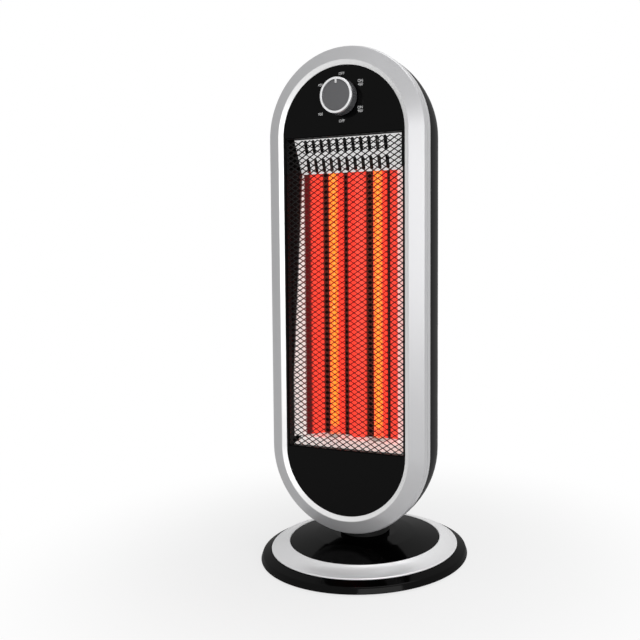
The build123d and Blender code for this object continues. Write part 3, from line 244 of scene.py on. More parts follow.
def rays(tree, *kinds):
    """1 for these kinds of ray and 0 for all others"""
    path = tree.nodes.new("ShaderNodeLightPath")
    either = path.outputs[f"Is {kinds[0]} Ray"]
    for kind in kinds[1:]:
        either = joined(tree, "MAXIMUM", either, path.outputs[f"Is {kind} Ray"])
    return either


def grain_group():
    """Mottling: fine and broad noise together shift a colour's lightness and the roughness,
    and the fine noise alone is the height of the surface"""
    group = bpy.data.node_groups.new("Fine grain", "ShaderNodeTree")
    face = group.interface
    for name, kind, value in (
        ("Color", "NodeSocketColor", (0.5, 0.5, 0.5, 1)),
        ("Scale", "NodeSocketFloat", 400.0),
        ("Variation", "NodeSocketFloat", 0.1),
        ("Roughness", "NodeSocketFloat", 0.3),
        ("Spread", "NodeSocketFloat", 0.08),
    ):
        face.new_socket(name, in_out="INPUT", socket_type=kind).default_value = value
    for name, kind in (
        ("Color", "NodeSocketColor"),
        ("Roughness", "NodeSocketFloat"),
        ("Height", "NodeSocketFloat"),
    ):
        face.new_socket(name, in_out="OUTPUT", socket_type=kind)
    add, link = group.nodes.new, group.links.new
    source, sink = add("NodeGroupInput"), add("NodeGroupOutput")
    spot = add("ShaderNodeTexCoord")
    fine, broad = add("ShaderNodeTexNoise"), add("ShaderNodeTexNoise")
    broad.inputs["Scale"].default_value = 14.0
    fine.inputs["Detail"].default_value = 4.0
    link(spot.outputs["Object"], fine.inputs["Vector"])
    link(spot.outputs["Object"], broad.inputs["Vector"])
    link(source.outputs["Scale"], fine.inputs["Scale"])
    both = joined(group, "ADD", fine.outputs["Fac"], broad.outputs["Fac"])
    centred = joined(group, "SUBTRACT", both, 1.0)
    lightness = joined(group, "MULTIPLY_ADD", centred, source.outputs["Variation"], 1.0)
    rough = joined(
        group, "MULTIPLY_ADD", centred, source.outputs["Spread"], source.outputs["Roughness"]
    )
    rough.node.use_clamp = True
    shade = add("ShaderNodeHueSaturation")
    link(lightness, shade.inputs["Value"])
    link(source.outputs["Color"], shade.inputs["Color"])
    link(shade.outputs["Color"], sink.inputs["Color"])
    link(rough, sink.inputs["Roughness"])
    link(fine.outputs["Fac"], sink.inputs["Height"])
    return group


# Finishes


def grained(name, color, rough, scale=400.0, variation=0.1, spread=0.08, bump=0.05, **fixed):
    """A material whose colour, roughness and bump come from the fine grain"""
    material = bpy.data.materials.new(name)
    material.use_nodes = True
    tree = material.node_tree
    shader = tree.nodes["Principled BSDF"]
    grain = tree.nodes.new("ShaderNodeGroup")
    grain.node_tree = bpy.data.node_groups.get("Fine grain") or grain_group()
    grain.inputs["Color"].default_value = (*color, 1)
    grain.inputs["Scale"].default_value = scale
    grain.inputs["Variation"].default_value = variation
    grain.inputs["Roughness"].default_value = rough
    grain.inputs["Spread"].default_value = spread
    lift = tree.nodes.new("ShaderNodeBump")
    lift.inputs["Strength"].default_value = bump
    lift.inputs["Distance"].default_value = 0.2 * MM
    tree.links.new(grain.outputs["Color"], shader.inputs["Base Color"])
    tree.links.new(grain.outputs["Roughness"], shader.inputs["Roughness"])
    tree.links.new(grain.outputs["Height"], lift.inputs["Height"])
    tree.links.new(lift.outputs["Normal"], shader.inputs["Normal"])
    for socket, value in fixed.items():
        shader.inputs[socket.replace("_", " ")].default_value = value
    return material


def brushed(material):
    """Replaces a material's bump by lines drawn out along Z, noise on stretched coordinates"""
    across, lengthwise = 1800, 12
    tree = material.node_tree
    spot, mapping = tree.nodes.new("ShaderNodeTexCoord"), tree.nodes.new("ShaderNodeMapping")
    lines, lift = tree.nodes.new("ShaderNodeTexNoise"), tree.nodes["Bump"]
    mapping.inputs["Scale"].default_value = (across, across, lengthwise)
    lines.inputs["Scale"].default_value = 1.0
    tree.links.new(spot.outputs["Object"], mapping.inputs["Vector"])
    tree.links.new(mapping.outputs["Vector"], lines.inputs["Vector"])
    tree.links.new(lines.outputs["Fac"], lift.inputs["Height"])
    return material


def colored(material, color):
    """Sends a node's colour to a material's grain"""
    tree = material.node_tree
    tree.links.new(color, tree.nodes["Group"].inputs["Color"])
    return material


def glowing(material, color, strength):
    """Gives a material an emission, its colour plain or a node's"""
    shader = material.node_tree.nodes["Principled BSDF"]
    feed(material.node_tree, shader.inputs["Emission Color"], color)
    shader.inputs["Emission Strength"].default_value = strength
    return material


def setting(name):
    """One of the colours in the panel"""
    return tuple(getattr(bpy.context.scene.heater_colors, name))


def finish(key):
    """The named finish, made once"""
    made = bpy.data.materials.get(key)
    return made if made else FINISHES[key](key)


LACQUER = {"scale": 2600, "variation": 0.06, "spread": 0.06, "bump": 0.03}
GLOSS = {"Specular_IOR_Level": 0.0, "Coat_Weight": 0.15, "Coat_Roughness": 0.1}
SHEET = {"scale": 700, "variation": 0.06, "spread": 0.08, "bump": 0.15, "Metallic": 0.3}
SHEET_GLOW = 0.4


def ring_silver(name):
    """Silver lacquer with a paler chamfer, which is where the distance from the head's middle
    line, the length of (x, 0, z less z held between the end centres), is short"""
    silver = setting("silver")
    made = grained(name, silver, 0.34, Metallic=0.3, **LACQUER)
    tree = made.node_tree
    add, link = tree.nodes.new, tree.links.new
    held, flat = add("ShaderNodeClamp"), add("ShaderNodeCombineXYZ")
    out = add("ShaderNodeVectorMath")
    held.inputs["Min"].default_value, held.inputs["Max"].default_value = END_LOW, END_HIGH
    out.operation = "LENGTH"
    height = along(tree, "Z")
    link(height, held.inputs["Value"])
    link(along(tree, "X"), flat.inputs["X"])
    link(joined(tree, "SUBTRACT", height, held.outputs[0]), flat.inputs["Z"])
    link(flat.outputs[0], out.inputs[0])
    edge, pale = ranged(tree, out.outputs["Value"], *CHAMFER), (0.93, 0.93, 0.93)
    return colored(made, tinted(tree, edge, silver, pale))


def gloss_black(name):
    """Polished black moulding"""
    return grained(
        name, setting("black"), 0.22, scale=900, variation=0.2, spread=0.06, bump=0.02, **GLOSS
    )


def satin_black(name):
    """Black stove enamel"""
    return grained(
        name, (0.006, 0.006, 0.006), 0.4, scale=1400, variation=0.2, spread=0.1, bump=0.12, IOR=1.2
    )


def knob_silver(name):
    """Bright plated rim of the knob, and its darker side"""
    plated = (0.85, 0.85, 0.86)
    made = grained(
        name, plated, 0.25, scale=1800, variation=0.06, spread=0.05, bump=0.03, Metallic=0.6
    )
    rim = level(made.node_tree, "Y", *KNOB_RIM)
    return colored(made, tinted(made.node_tree, rim, (0.2, 0.2, 0.21), plated))


def bright_sheet(name):
    """Bright rolled sheet with a steady pale glow, painted in place of the tubes' light"""
    made = brushed(grained(name, (0.88, 0.88, 0.88), 0.35, **SHEET))
    return glowing(made, (1.0, 0.97, 0.93, 1), SHEET_GLOW)


def vent_sheet(name):
    """Bright sheet on the hood's slope, with painted shade above it and where it runs back"""
    made = bright_sheet(name)
    tree = made.node_tree
    # Painted shade above the hood's slope and where the sheet runs back
    lit = joined(tree, "MULTIPLY", level(tree, "Z", *HOOD_TOP), level(tree, "Y", *HOOD_BACK))
    color = tinted(tree, lit, (0.004, 0.004, 0.004), (0.88, 0.88, 0.88))
    return glowing(colored(made, color), color, SHEET_GLOW)


def glow_sheet(name):
    """Bright sheet painted with red light in upright bands, with dark and pale bands as painted
    reflections, which stay where they are from every side, and painted shade at its top and
    left of a line that leans in towards the top"""
    made = brushed(grained(name, (0.84, 0.84, 0.85), 0.35, IOR=1.15, **SHEET))
    tree = made.node_tree
    red = setting("glow_red")
    deep, dark, pale = (0.09, 0.006, 0.008), (0.004, 0.002, 0.002), (0.73, 0.72, 0.71)
    # Painted reflections: the tubes' red light, with dark and pale bands, at places along X in
    # millimetres
    stops = (
        (-65.8, pale), (-64.6, deep), (-61, deep), (-59, red), (-50, red), (-48, dark),
        (-42, dark), (-39.5, red), (-21.5, red), (-19, dark), (-15.5, dark), (-13.5, red),
        (9, red), (12, dark), (19, dark), (21.5, red), (37, red), (39, dark), (41.5, dark),
        (43, red), (51, red), (54, pale),
    )
    bands = across_ramp(tree, stops, 90 * MM)
    # Painted shade left of a line that leans in towards the top, and above the sheet's lit part
    line_heights, line_places, line_blur = (0.229, 0.478), (-0.0753, -0.0668), 1.2 * MM
    line = level(tree, "Z", *line_heights, *line_places)
    beyond = joined(tree, "SUBTRACT", along(tree, "X"), line)
    shade = joined(tree, "MULTIPLY", beyond, 1 / line_blur)
    shade.node.use_clamp = True
    lit = joined(tree, "MULTIPLY", shade, level(tree, "Z", *REFLECTOR_TOP))
    color = tinted(tree, lit, dark, bands)
    return glowing(colored(made, color), color, strength=0.6)


def guard_black(name):
    """Black guard wire, painted with a faint red glow over the red part of the sheet behind"""
    made = satin_black(name)
    tree = made.node_tree
    sides = joined(tree, "MULTIPLY", level(tree, "X", *GUARD_LEFT), level(tree, "X", *GUARD_RIGHT))
    ends = joined(tree, "MULTIPLY", level(tree, "Z", *GUARD_FOOT), level(tree, "Z", *GUARD_TOP))
    glow = tinted(tree, joined(tree, "MULTIPLY", sides, ends), (0, 0, 0), setting("glow_red"))
    return glowing(made, glow, strength=0.08)


def glowing_carbon(name):
    """Carbon at orange heat and red at its foot, painted as a steady glow, with painted shade at
    its top
    """
    made = grained(name, (1, 1, 1), 0.6, scale=300, variation=0.25, spread=0.1, bump=0.3)
    tree = made.node_tree
    foot = level(tree, "Z", *CARBON_FOOT)
    heat = tinted(tree, foot, setting("glow_red"), setting("glow_orange"))
    # Painted shade at the top of the carbon
    color = tinted(tree, level(tree, "Z", *CARBON_TOP), (0.01, 0.01, 0.01), heat)
    return glowing(colored(made, color), color, strength=1.0)


def quartz(name):
    """Clear quartz, painted with a warm glow up to the top of the hot carbon"""
    made = grained(
        name, (1.0, 0.9, 0.8), 0.06, scale=200, variation=0.05, spread=0.03, bump=0.02,
        Transmission_Weight=1.0, IOR=1.3,
    )
    tree = made.node_tree
    warm = tinted(tree, level(tree, "Z", *CARBON_TOP), (0, 0, 0), (0.9, 0.2, 0.03))
    return glowing(made, warm, strength=0.2)


def ceramic(name):
    """Unglazed ceramic, given a dark shade by height where the hood covers the upper caps"""
    cap = (0.75, 0.73, 0.68)
    made = grained(name, cap, 0.6, bump=0.2)
    tree = made.node_tree
    return colored(made, tinted(tree, level(tree, "Z", *CAPS_SHADE), cap, (0.03, 0.03, 0.03)))


def plain(color, rough, **grain):
    """A maker for a grained finish of one colour and roughness"""
    return lambda name: grained(name, color, rough, **grain)


FINISHES = {
    "Ring silver": ring_silver,
    "Trim silver": plain((0.93, 0.93, 0.94), 0.3, Metallic=0.2, **LACQUER),
    "Gloss black": gloss_black,
    "Satin black": satin_black,
    "Guard black": guard_black,
    "Matte black": plain(
        (0.01, 0.01, 0.01), 0.55, scale=1200, variation=0.15, spread=0.1, bump=0.1, IOR=1.25
    ),
    "Knob grey": plain(
        (0.115, 0.115, 0.12), 0.32, scale=1500, variation=0.15, spread=0.1, bump=0.1, Metallic=0.3
    ),
    "Knob silver": knob_silver,
    "White print": plain(
        (0.8, 0.8, 0.8), 0.5, scale=1500, variation=0.05, spread=0.05, bump=0.02
    ),
    "Bright sheet": bright_sheet,
    "Vent sheet": vent_sheet,
    "Glowing sheet": glow_sheet,
    "Glowing carbon": glowing_carbon,
    "Quartz": quartz,
    "Ceramic": ceramic,
    "Brass": plain((0.55, 0.38, 0.13), 0.3, Metallic=1.0),
    "Zinc": plain((0.55, 0.55, 0.56), 0.35, Metallic=1.0, variation=0.15),
    "Steel": plain((0.42, 0.42, 0.43), 0.4, Metallic=1.0, variation=0.2),
    "Nylon": plain((0.72, 0.71, 0.66), 0.5),
    "Rubber": plain((0.015, 0.015, 0.015), 0.75, bump=0.2),
    "Sleeve": plain((0.6, 0.59, 0.54), 0.6, bump=0.2),
}

NODE_FINISHES = {
    "Gloss black": ("front_panel",),
    "Satin black": ("mesh_spacer", "chassis", "tube_bracket_lower", "tube_bracket_upper"),
    "Matte black": ("rotary_switch", "swivel_neck", "tip_switch", "thrust_washer"),
    "Bright sheet": ("lower_plate",),
    "Vent sheet": ("vent_plate",),
    "Glowing sheet": ("reflector",),
    "Ceramic": ("ceramic_caps",),
    "Brass": ("switch_spades", "switch_nut"),
    "Zinc": (
        "chassis_screws", "rear_screws", "pan_screws", "neck_screws", "sector_screws",
        "motor_screws", "base_screws",
    ),
    "Steel": (
        "neck_bracket", "base_plate", "motor_standoffs", "oscillation_motor", "motor_shaft",
        "switch_shaft", "thermal_cutout", "retaining_washer", "counterweight",
    ),
    "Nylon": ("toothed_sector", "drive_pinion", "terminal_block", "tip_plunger"),
    "Rubber": ("rubber_feet", "cord_inlet_bush", "base_loom", "head_loom"),
    "Sleeve": ("lead_left", "lead_right", "lead_return", "lead_supply", "base_leads"),
}


# Settings


def color_setting(name, description, default):
    """A colour in the panel"""
    return FloatVectorProperty(
        name=name, description=description, subtype="COLOR", default=default, min=0, max=1
    )


def length_setting(name, description, default):
    """A length in the panel"""
    return FloatProperty(name=name, description=description, unit="LENGTH", default=default)


class HeaterColors(bpy.types.PropertyGroup):
    """Colours of the lacquer, the mouldings and the painted light"""

    silver: color_setting("Silver", "Lacquer of the front ring", (0.5, 0.5, 0.51))
    black: color_setting("Black", "Gloss mouldings", (0.001, 0.001, 0.001))
    glow_orange: color_setting("Tube glow", "Light of the carbon", (1.0, 0.26, 0.025))
    glow_red: color_setting("Sheet glow", "Red light on the reflector", (1.0, 0.075, 0.048))


class GuardSettings(bpy.types.PropertyGroup):
    """Sizes of the guard mesh"""

    width: length_setting("Width", "Guard from side to side", 0.1555)
    height: length_setting("Height", "Guard from top to bottom", 0.3755)
    columns: IntProperty(
        name="Half diamonds across", description="Steps of each strand", default=29
    )
    rows: IntProperty(name="Strands", description="Zigzag strands up the guard", default=114)
    strand: length_setting("Strand", "Width of a strand", 0.0011)
    depth: length_setting("Depth", "Thickness of a strand", 0.0009)
    border: length_setting("Border", "Plain strip at the edge", 0.0022)


class TubeSettings(bpy.types.PropertyGroup):
    """Sizes of the heating tubes"""

    spacing: length_setting("Spacing", "Between the two tubes", 0.06)
    depth: length_setting("Depth", "Place of the tubes along Y", -0.023)
    radius: length_setting("Radius", "Glass outside", 0.0055)
    carbon: length_setting("Carbon", "Radius of the winding", 0.0034)
    pitch: length_setting("Pitch", "Rise of one turn of the winding", 0.006)


class KnobSettings(bpy.types.PropertyGroup):
    """Sizes of the knob"""

    radius: length_setting("Radius", "Knob outside", 0.02075)
    face: length_setting("Face", "Radius of the grey disc", 0.0176)
    flutes: IntProperty(name="Flutes", description="Grip flutes round the side", default=48)


SETTINGS = {
    "heater_colors": HeaterColors,
    "heater_guard": GuardSettings,
    "heater_tubes": TubeSettings,
    "heater_knob": KnobSettings,
}


# Pieces


class HEATER_OT_front_ring(bpy.types.Operator):
    """Make the silver ring, a rounded channel carried round the head's outline"""

    bl_idname = "heater.front_ring"
    bl_label = "Front ring"

    def execute(self, context):
        corners = np.array(
            [
                (102.0, -35.5), (102.0, -43.5), (101.4, -43.5), (101.4, -44.5), (102.0, -44.5),
                (102.0, -51.0), (84.3, -59.5), (79.0, -56.5), (79.0, -53.5), (81.4, -53.5),
                (84.3, -57.1), (99.6, -49.8), (99.6, -35.5),
            ]
        )
        radii = np.array([0.2, 0.15, 0.1, 0.1, 0.15, 3.4, 1.1, 0.4, 0.3, 0.3, 0.6, 0.6, 0.2])
        profile = rounded(corners * MM, radii * MM, hold=0.05 * MM)
        mesh = grid_mesh("front_ring", carried(profile), True, True)
        place(mesh, "head", finish("Ring silver"), "silver_plastic", "front_bezel")
        return {"FINISHED"}


class HEATER_OT_guard(bpy.types.Operator):
    """Make the guard, a sheet of diamonds from zigzag strands inside a plain border"""

    bl_idname = "heater.guard"
    bl_label = "Guard mesh"

    def execute(self, context):
        guard = context.scene.heater_guard
        middle = (END_LOW + END_HIGH) / 2
        half_width, half_height = guard.width / 2 - guard.border, guard.height / 2 - guard.border
        self.diamonds(guard, middle, half_width, half_height)
        self.border(guard, middle, half_width, half_height)
        return {"FINISHED"}

    def diamonds(self, guard, middle, half_width, half_height):
        """Strand n steps up and down by one row: z = foot + (n + (n + step) % 2) * row. Its
        section is slanted, and every other strand stands 0.1 mm further back"""
        step_x, step_z = 2 * half_width / guard.columns, 2 * half_height / (guard.rows + 1)
        strand, step = np.meshgrid(
            np.arange(guard.rows), np.arange(guard.columns + 1), indexing="ij"
        )
        x = -half_width + step * step_x
        z = middle - half_height + (strand + (strand + step) % 2) * step_z
        rise = guard.strand / 2 * math.hypot(step_x, step_z) / step_x
        plane = GUARD_Y + (strand % 2 - 0.5) * 0.1 * MM
        more, less = guard.depth * 0.7, guard.depth * 0.3
        section = [(rise, -more), (rise, less), (-rise, more), (-rise, -less)]
        points = np.stack(
            [np.stack([x, plane + depth, z + up], -1) for up, depth in section], 2
        )
        index = np.arange(points[..., 0].size).reshape(points.shape[:3])
        turn = np.roll(index, -1, 2)
        sides = np.stack([index[:, :-1], index[:, 1:], turn[:, 1:], turn[:, :-1]], -1)
        mesh = bpy.data.meshes.new("guard_diamonds")
        mesh.from_pydata(points.reshape(-1, 3).tolist(), [], sides.reshape(-1, 4).tolist())
        place(mesh, "head", finish("Guard black"), "black_steel", "guard_mesh")

    def border(self, guard, middle, half_width, half_height):
        """A flat frame round the diamonds, rectangular in section"""
        corners = np.array([(-1, -1), (1, -1), (1, 1), (-1, 1)])
        outer = corners * (guard.width / 2, guard.height / 2)
        inner = corners * (half_width, half_height)
        half_depth = 0.4 * MM
        loops = [
            (outer, -half_depth), (outer, half_depth), (inner, half_depth), (inner, -half_depth),
        ]
        ring = np.stack(
            [
                np.column_stack([c[:, 0], np.full(len(c), GUARD_Y + depth), middle + c[:, 1]])
                for c, depth in loops
            ],
            1,
        )
        mesh = grid_mesh("guard_border", ring, True, True, smooth=False)
        place(mesh, "head", finish("Satin black"), "black_steel")


class HEATER_OT_tubes(bpy.types.Operator):
    """Make the two quartz tubes and the spiral-wound carbon inside them"""

    bl_idname = "heater.tubes"
    bl_label = "Heating tubes"

    def execute(self, context):
        tubes = context.scene.heater_tubes
        for side, x in (("left", -tubes.spacing / 2), ("right", tubes.spacing / 2)):
            self.tube(tubes, side, x, TUBE_LOW, TUBE_HIGH)
            self.carbon(tubes, side, x, TUBE_LOW + FILAMENT_INSET, TUBE_HIGH - FILAMENT_INSET)
        return {"FINISHED"}

    def tube(self, tubes, side, x, low, high):
        """Glass: a closed skin round solid glass, its shoulders drawn in by quarter ellipses"""
        outer, tip = tubes.radius, 0.01 * MM
        drawn_in, shoulder_height = outer * 0.7, outer * 0.6
        bend = np.linspace(0, math.pi / 2, 7)
        shoulder = np.column_stack(
            [
                outer - drawn_in * (1 - np.cos(bend)),
                high - shoulder_height + np.sin(bend) * shoulder_height,
            ]
        )
        lower = np.column_stack([shoulder[:, 0], low + high - shoulder[:, 1]])[::-1]
        skin = np.vstack([[(tip, low)], lower, shoulder, [(tip, shoulder[-1, 1])]])
        points = turned(skin, 28) + (x, tubes.depth, 0)
        mesh = grid_mesh(f"quartz_{side}", points, True)
        place(mesh, "head", finish("Quartz"), "quartz", f"quartz_tube_{side}")

    def carbon(self, tubes, side, x, low, high):
        """Winding: radius = r * (1 + 0.12 * cos(angle - 2 pi z / pitch)), with a connector and
        a thin tail at each end"""
        tail, connector, swing = 0.8 * MM, 2.2 * MM, 0.12
        ends = low - np.array([19.0, 7.0, 6.9, 0.1]) * MM
        z = np.concatenate([ends, np.linspace(low, high, 480), (low + high) - ends[::-1]])
        radius = np.full(len(z), tubes.carbon)
        radius[:2] = radius[-2:] = tail
        radius[2:4] = radius[-4:-2] = connector
        wave = np.zeros(len(z))
        wave[4:-4] = swing
        angle = np.linspace(0, 2 * math.pi, 16, endpoint=False)[:, None]
        swell = radius * (1 + wave * np.cos(angle - 2 * math.pi * z / tubes.pitch))
        across, deep = x + swell * np.cos(angle), tubes.depth + swell * np.sin(angle)
        points = np.stack([across, deep, np.broadcast_to(z, swell.shape)], -1)
        mesh = grid_mesh(f"carbon_{side}", points, True)
        place(mesh, "head", finish("Glowing carbon"), "glowing_carbon", f"carbon_filament_{side}")


class HEATER_OT_knob(bpy.types.Operator):
    """Make the knob: a fluted side, a bright rim, a grey disc and a white pointer"""

    bl_idname = "heater.knob"
    bl_label = "Knob"

    def execute(self, context):
        knob = context.scene.heater_knob
        self.body(knob)
        self.disc(knob)
        self.pointer()
        return {"FINISHED"}

    def body(self, knob):
        """Side: radius - grip * (1 - cos(flutes * angle)) / 2 along the fluted part"""
        outer, rim = knob.radius / MM, knob.face / MM + 0.2
        corners = [
            (outer, -58.3), (outer, -67.5), (outer - 0.55, -72.0), (rim, -72.0), (rim, -69.5),
            (3.2, -69.5), (3.2, -58.9), (18.3, -58.3),
        ]
        radii = np.array([0.3, 0.5, 0.6, 0.3, 0.2, 0.2, 0.2, 0.2])
        side = rounded(np.array(corners) * MM, radii * MM)
        angle = np.linspace(0, 2 * math.pi, knob.flutes * 6, endpoint=False)[:, None]
        fluted = (side[:, 0] > knob.radius - 1.25 * MM) & (side[:, 1] > -69 * MM)
        grip = fluted * 0.35 * MM
        radius = side[:, 0] - grip * (0.5 - 0.5 * np.cos(knob.flutes * angle))
        mesh = grid_mesh("knob_body", about_dial(radius, side[:, 1], angle), True, True)
        place(mesh, "dial", finish("Knob silver"), "knob_grey", "knob")

    def disc(self, knob):
        """The face, a shallow dish with a bevelled edge"""
        face, centre = knob.face / MM, 1e-5
        profile = np.array(
            [
                (centre, -70.4), (face - 1, -70.6), (face - 0.2, -70.3), (face, -69.45),
                (centre, -69.45),
            ]
        ) * MM
        angle = np.linspace(0, 2 * math.pi, 96, endpoint=False)[:, None]
        mesh = grid_mesh("knob_disc", about_dial(profile[:, 0], profile[:, 1], angle), True)
        place(mesh, "dial", finish("Knob grey"), "knob_grey", "knob_face")

    def pointer(self):
        """A rounded bar, its front edge drawn in and then closed"""
        corners = np.array([(-1.1, 13.6), (1.1, 13.6), (1.1, 19.6), (-1.1, 19.6)]) * MM
        bar = rounded(corners, [0.4 * MM] * 4)
        middle = 16.6 * MM
        layers = []
        for y, share in ((-70.0, 1), (-71.7, 1), (-71.9, 0.9), (-71.9, 0.01)):
            z = DIAL_Z + (bar[:, 1] - middle) * share + middle
            layers.append(np.column_stack([bar[:, 0] * share, np.full(len(bar), y * MM), z]))
        mesh = grid_mesh("knob_pointer", np.stack(layers), False, True)
        place(mesh, "dial", finish("White print"), "silver_plastic")


class HEATER_OT_legends(bpy.types.Operator):
    """Print the dial's words and numbers on the panel, one group at each of six places"""

    bl_idname = "heater.legends"
    bl_label = "Dial legends"

    # Words, degrees round the dial from the right, and millimetres out from its axis
    marks = (
        ("OFF", 90, 27.5), ("ON\n450", 32, 28.5), ("ON\n900", -32, 28.0), ("OFF", -90, 26.5),
        ("900", 211, 32.5), ("450", 149, 32.5),
    )
    letter_size = 4.3 * MM
    lift = 0.06 * MM

    def execute(self, context):
        for count, (words, turn, out) in enumerate(self.marks):
            line = bpy.data.curves.new("legend", "FONT")
            line.body, line.size = words, self.letter_size
            line.align_x = line.align_y = "CENTER"
            line.space_line = 0.95
            draft = bpy.data.objects.new("legend_draft", line)
            context.scene.collection.objects.link(draft)
            shaped = draft.evaluated_get(context.evaluated_depsgraph_get())
            mesh = bpy.data.meshes.new_from_object(shaped)
            bpy.data.objects.remove(draft)
            mesh.name = f"legend_{count}"
            way = math.radians(turn)
            x, z = out * MM * math.cos(way), DIAL_Z + out * MM * math.sin(way)
            spot = Matrix.Translation(Vector((x, PANEL_Y - self.lift, z)))
            mesh.transform(spot @ Matrix.Rotation(math.pi / 2, 4, "X"))
            place(mesh, "head", finish("White print"), "silver_plastic")
        return {"FINISHED"}


class HEATER_OT_rear(bpy.types.Operator):
    """Give the rear cover its smooth skin"""

    bl_idname = "heater.rear"
    bl_label = "Rear cover"

    def execute(self, context):
        skin = smoothed_node("rear_cover")
        place(skin, "head", finish("Gloss black"), "gloss_black", "rear_cover")
        return {"FINISHED"}


class HEATER_OT_base(bpy.types.Operator):
    """Turn the base cover and its trim ring about the swivel axis"""

    bl_idname = "heater.base"
    bl_label = "Base"

    def execute(self, context):
        self.cover()
        self.trim()
        return {"FINISHED"}

    def cover(self):
        """Skirt, seat of the trim, dome and hub, as one wall"""
        corners = np.array(
            [
                (130.0, 1.5), (127.6, 8.5), (117.3, 12.6), (117.25, 11.8), (93.8, 19.9),
                (93.8, 21.2), (62.0, 27.3), (40.0, 30.0), (24.85, 30.0), (24.85, 22.6),
                (28.85, 22.6), (28.85, 27.5), (39.9, 27.5), (61.6, 24.8), (91.3, 19.1),
                (116.0, 9.8), (125.6, 6.6), (127.4, 1.5),
            ]
        )
        radii = np.array(
            [0.6, 3.0, 0.3, 0.2, 0.2, 0.3, 30.0, 12.0, 0.5, 0.5, 0.5, 0.5, 1, 1, 1, 1, 1, 0.5]
        )
        profile = rounded(corners * MM, radii * MM, steps=8)
        mesh = grid_mesh("base_dome", turned(profile), True, True)
        place(mesh, "base", finish("Gloss black"), "gloss_black", "base_cover")

    def trim(self):
        """A flat band with a round bead at each edge, tilted to the slope of its seat"""
        run, bead, sunk, overlap = 11.84, 1.1, 0.5, 0.3
        turn = np.linspace(0, 2 * math.pi, 15)[:-1]
        beads = []
        for side in (-1, 1):
            centre = side * (run - bead)
            x, y = centre + bead * np.cos(turn), -sunk + bead * np.sin(turn)
            outward = side * (x - centre)
            order = np.argsort(-np.arctan2(y + sunk, outward))
            order = order[outward[order] >= -overlap]
            beads.append(np.column_stack([x, y])[order])
        inner, outer = beads
        flat_half, foot_half, foot = run - 2 * bead - 0.1, run - bead, -1.6
        section = np.vstack(
            [
                inner[::-1], [(-flat_half, 0.0), (flat_half, 0.0)],
                outer, [(foot_half, foot), (-foot_half, foot)],
            ]
        )
        seat_radius, seat_height, seat_fall, seat_run = 105.8, 17.45, 7.7, 22.4
        tilt = -math.atan2(seat_fall, seat_run)
        cos, sin = math.cos(tilt), math.sin(tilt)
        radius = seat_radius + section[:, 0] * cos - section[:, 1] * sin
        height = seat_height + section[:, 0] * sin + section[:, 1] * cos
        band = np.column_stack([radius, height]) * MM
        mesh = grid_mesh("trim_band", turned(band), True, True)
        place(mesh, "base", finish("Trim silver"), "silver_plastic", "base_trim_ring")


class HEATER_OT_finishes(bpy.types.Operator):
    """Give every carried-over part of the frame its finish"""

    bl_idname = "heater.finishes"
    bl_label = "Part finishes"

    def execute(self, context):
        for key, names in NODE_FINISHES.items():
            for name in names:
                data = NODES[name].data
                data.materials.clear()
                data.materials.append(finish(key))
        return {"FINISHED"}


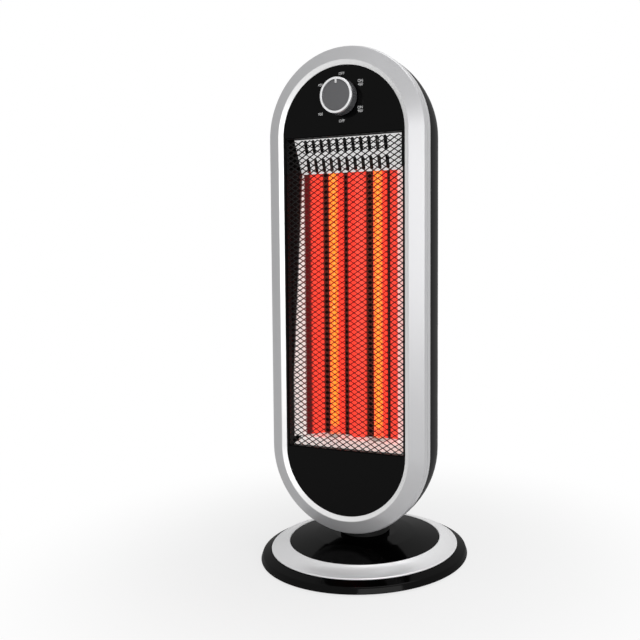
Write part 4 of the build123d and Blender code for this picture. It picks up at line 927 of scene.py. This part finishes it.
class HEATER_OT_stage(bpy.types.Operator):
    """Set the floor, the world, the lamps and the camera"""

    bl_idname = "heater.stage"
    bl_label = "Stage"

    def execute(self, context):
        self.floor()
        self.world(context)
        self.lamp("Key", (1.75, -2.0, 0.35), size=2.2, power=50)
        self.lamp("Top", (0.5, 0.1, 2.5), size=1.6, power=20)
        self.camera(context)
        return {"FINISHED"}

    def floor(self):
        """A pale disc, mixed with plain white for camera and glossy rays: 0.72 white under the
        heater, and all white from half a metre out"""
        turns, radius, near, far, white_at_foot = 96, 40, 0.13, 0.5, 0.72
        angle = np.linspace(0, 2 * math.pi, turns, endpoint=False)
        rim = np.column_stack([radius * np.cos(angle), radius * np.sin(angle), np.zeros(turns)])
        mesh = bpy.data.meshes.new("floor")
        mesh.from_pydata(rim.tolist(), [], [list(range(turns))])
        floor = bpy.data.objects.new("floor", mesh)
        bpy.context.scene.collection.objects.link(floor)
        made = grained(
            "Floor", (0.92, 0.92, 0.92), 0.8, scale=60, variation=0.01, spread=0.02, bump=0.0,
            Specular_IOR_Level=0.1,
        )
        tree = made.node_tree
        add, link = tree.nodes.new, tree.links.new
        shader, out = tree.nodes["Principled BSDF"], tree.nodes["Material Output"]
        spot, size = add("ShaderNodeTexCoord"), add("ShaderNodeVectorMath")
        size.operation = "LENGTH"
        link(spot.outputs["Object"], size.inputs[0])
        fade = ranged(tree, size.outputs["Value"], near, far, white_at_foot, 1.0)
        fade.node.interpolation_type = "SMOOTHSTEP"
        white, blend = add("ShaderNodeEmission"), add("ShaderNodeMixShader")
        link(joined(tree, "MULTIPLY", fade, rays(tree, "Camera", "Glossy")), blend.inputs["Fac"])
        link(shader.outputs[0], blend.inputs[1])
        link(white.outputs[0], blend.inputs[2])
        link(blend.outputs[0], out.inputs["Surface"])
        mesh.materials.append(made)

    def world(self, context):
        """White where the camera, metal and glass look, softer as light"""
        light_strength = 0.26
        world = bpy.data.worlds.new("Studio")
        world.use_nodes = True
        context.scene.world = world
        tree = world.node_tree
        back = tree.nodes["Background"]
        back.inputs["Color"].default_value = (1, 1, 1, 1)
        looked_at = rays(tree, "Camera", "Transmission", "Glossy")
        strength = ranged(tree, looked_at, low=light_strength)
        tree.links.new(strength, back.inputs["Strength"])

    def lamp(self, name, spot, size, power):
        """A square lamp that faces the middle of the heater"""
        data = bpy.data.lights.new(name, "AREA")
        data.size, data.energy = size, power
        lamp = bpy.data.objects.new(name, data)
        lamp.location = spot
        way = Vector((0, 0, 0.3)) - Vector(spot)
        lamp.rotation_euler = way.to_track_quat("-Z", "Y").to_euler()
        bpy.context.scene.collection.objects.link(lamp)

    def camera(self, context):
        """The photograph's viewpoint"""
        pitch_down, yaw = 3.683, 21.611
        data = bpy.data.cameras.new("Camera")
        data.lens, data.sensor_width = 41.08, 36.0
        data.shift_x, data.shift_y = -0.1566, 0.0024
        data.clip_start, data.clip_end = 0.01, 100
        camera = bpy.data.objects.new("Camera", data)
        camera.location = (0.40108, -0.82226, 0.35346)
        camera.rotation_euler = (math.radians(90 - pitch_down), 0, math.radians(yaw))
        context.scene.collection.objects.link(camera)
        context.scene.camera = camera


PIECES = (
    HEATER_OT_stage,
    HEATER_OT_front_ring,
    HEATER_OT_rear,
    HEATER_OT_guard,
    HEATER_OT_tubes,
    HEATER_OT_knob,
    HEATER_OT_legends,
    HEATER_OT_base,
    HEATER_OT_finishes,
)


class HEATER_PT_panel(bpy.types.Panel):
    """The heater's pieces and settings"""

    bl_label = "Carbon heater"
    bl_idname = "HEATER_PT_panel"
    bl_space_type = "VIEW_3D"
    bl_region_type = "UI"
    bl_category = "Heater"

    def draw(self, context):
        for piece in PIECES:
            self.layout.operator(piece.bl_idname)
        for group in SETTINGS:
            settings = getattr(context.scene, group)
            for name in settings.bl_rna.properties.keys():
                if name not in ("rna_type", "name"):
                    self.layout.prop(settings, name)


CLASSES = (*SETTINGS.values(), *PIECES, HEATER_PT_panel)


def register():
    """Add the classes, and the settings to every scene"""
    for group in CLASSES:
        bpy.utils.register_class(group)
    for name, group in SETTINGS.items():
        setattr(bpy.types.Scene, name, PointerProperty(type=group))


def unregister():
    """Take the settings and the classes away again"""
    for name in SETTINGS:
        delattr(bpy.types.Scene, name)
    for group in reversed(CLASSES):
        bpy.utils.unregister_class(group)


def main():
    """Make every piece"""
    register()
    context = bpy.context
    context.scene.view_settings.view_transform = "Standard"
    for piece in PIECES:
        area, name = piece.bl_idname.split(".")
        getattr(getattr(bpy.ops, area), name)()
    bpy.context.view_layer.update()


if __name__ == "__main__":
    main()
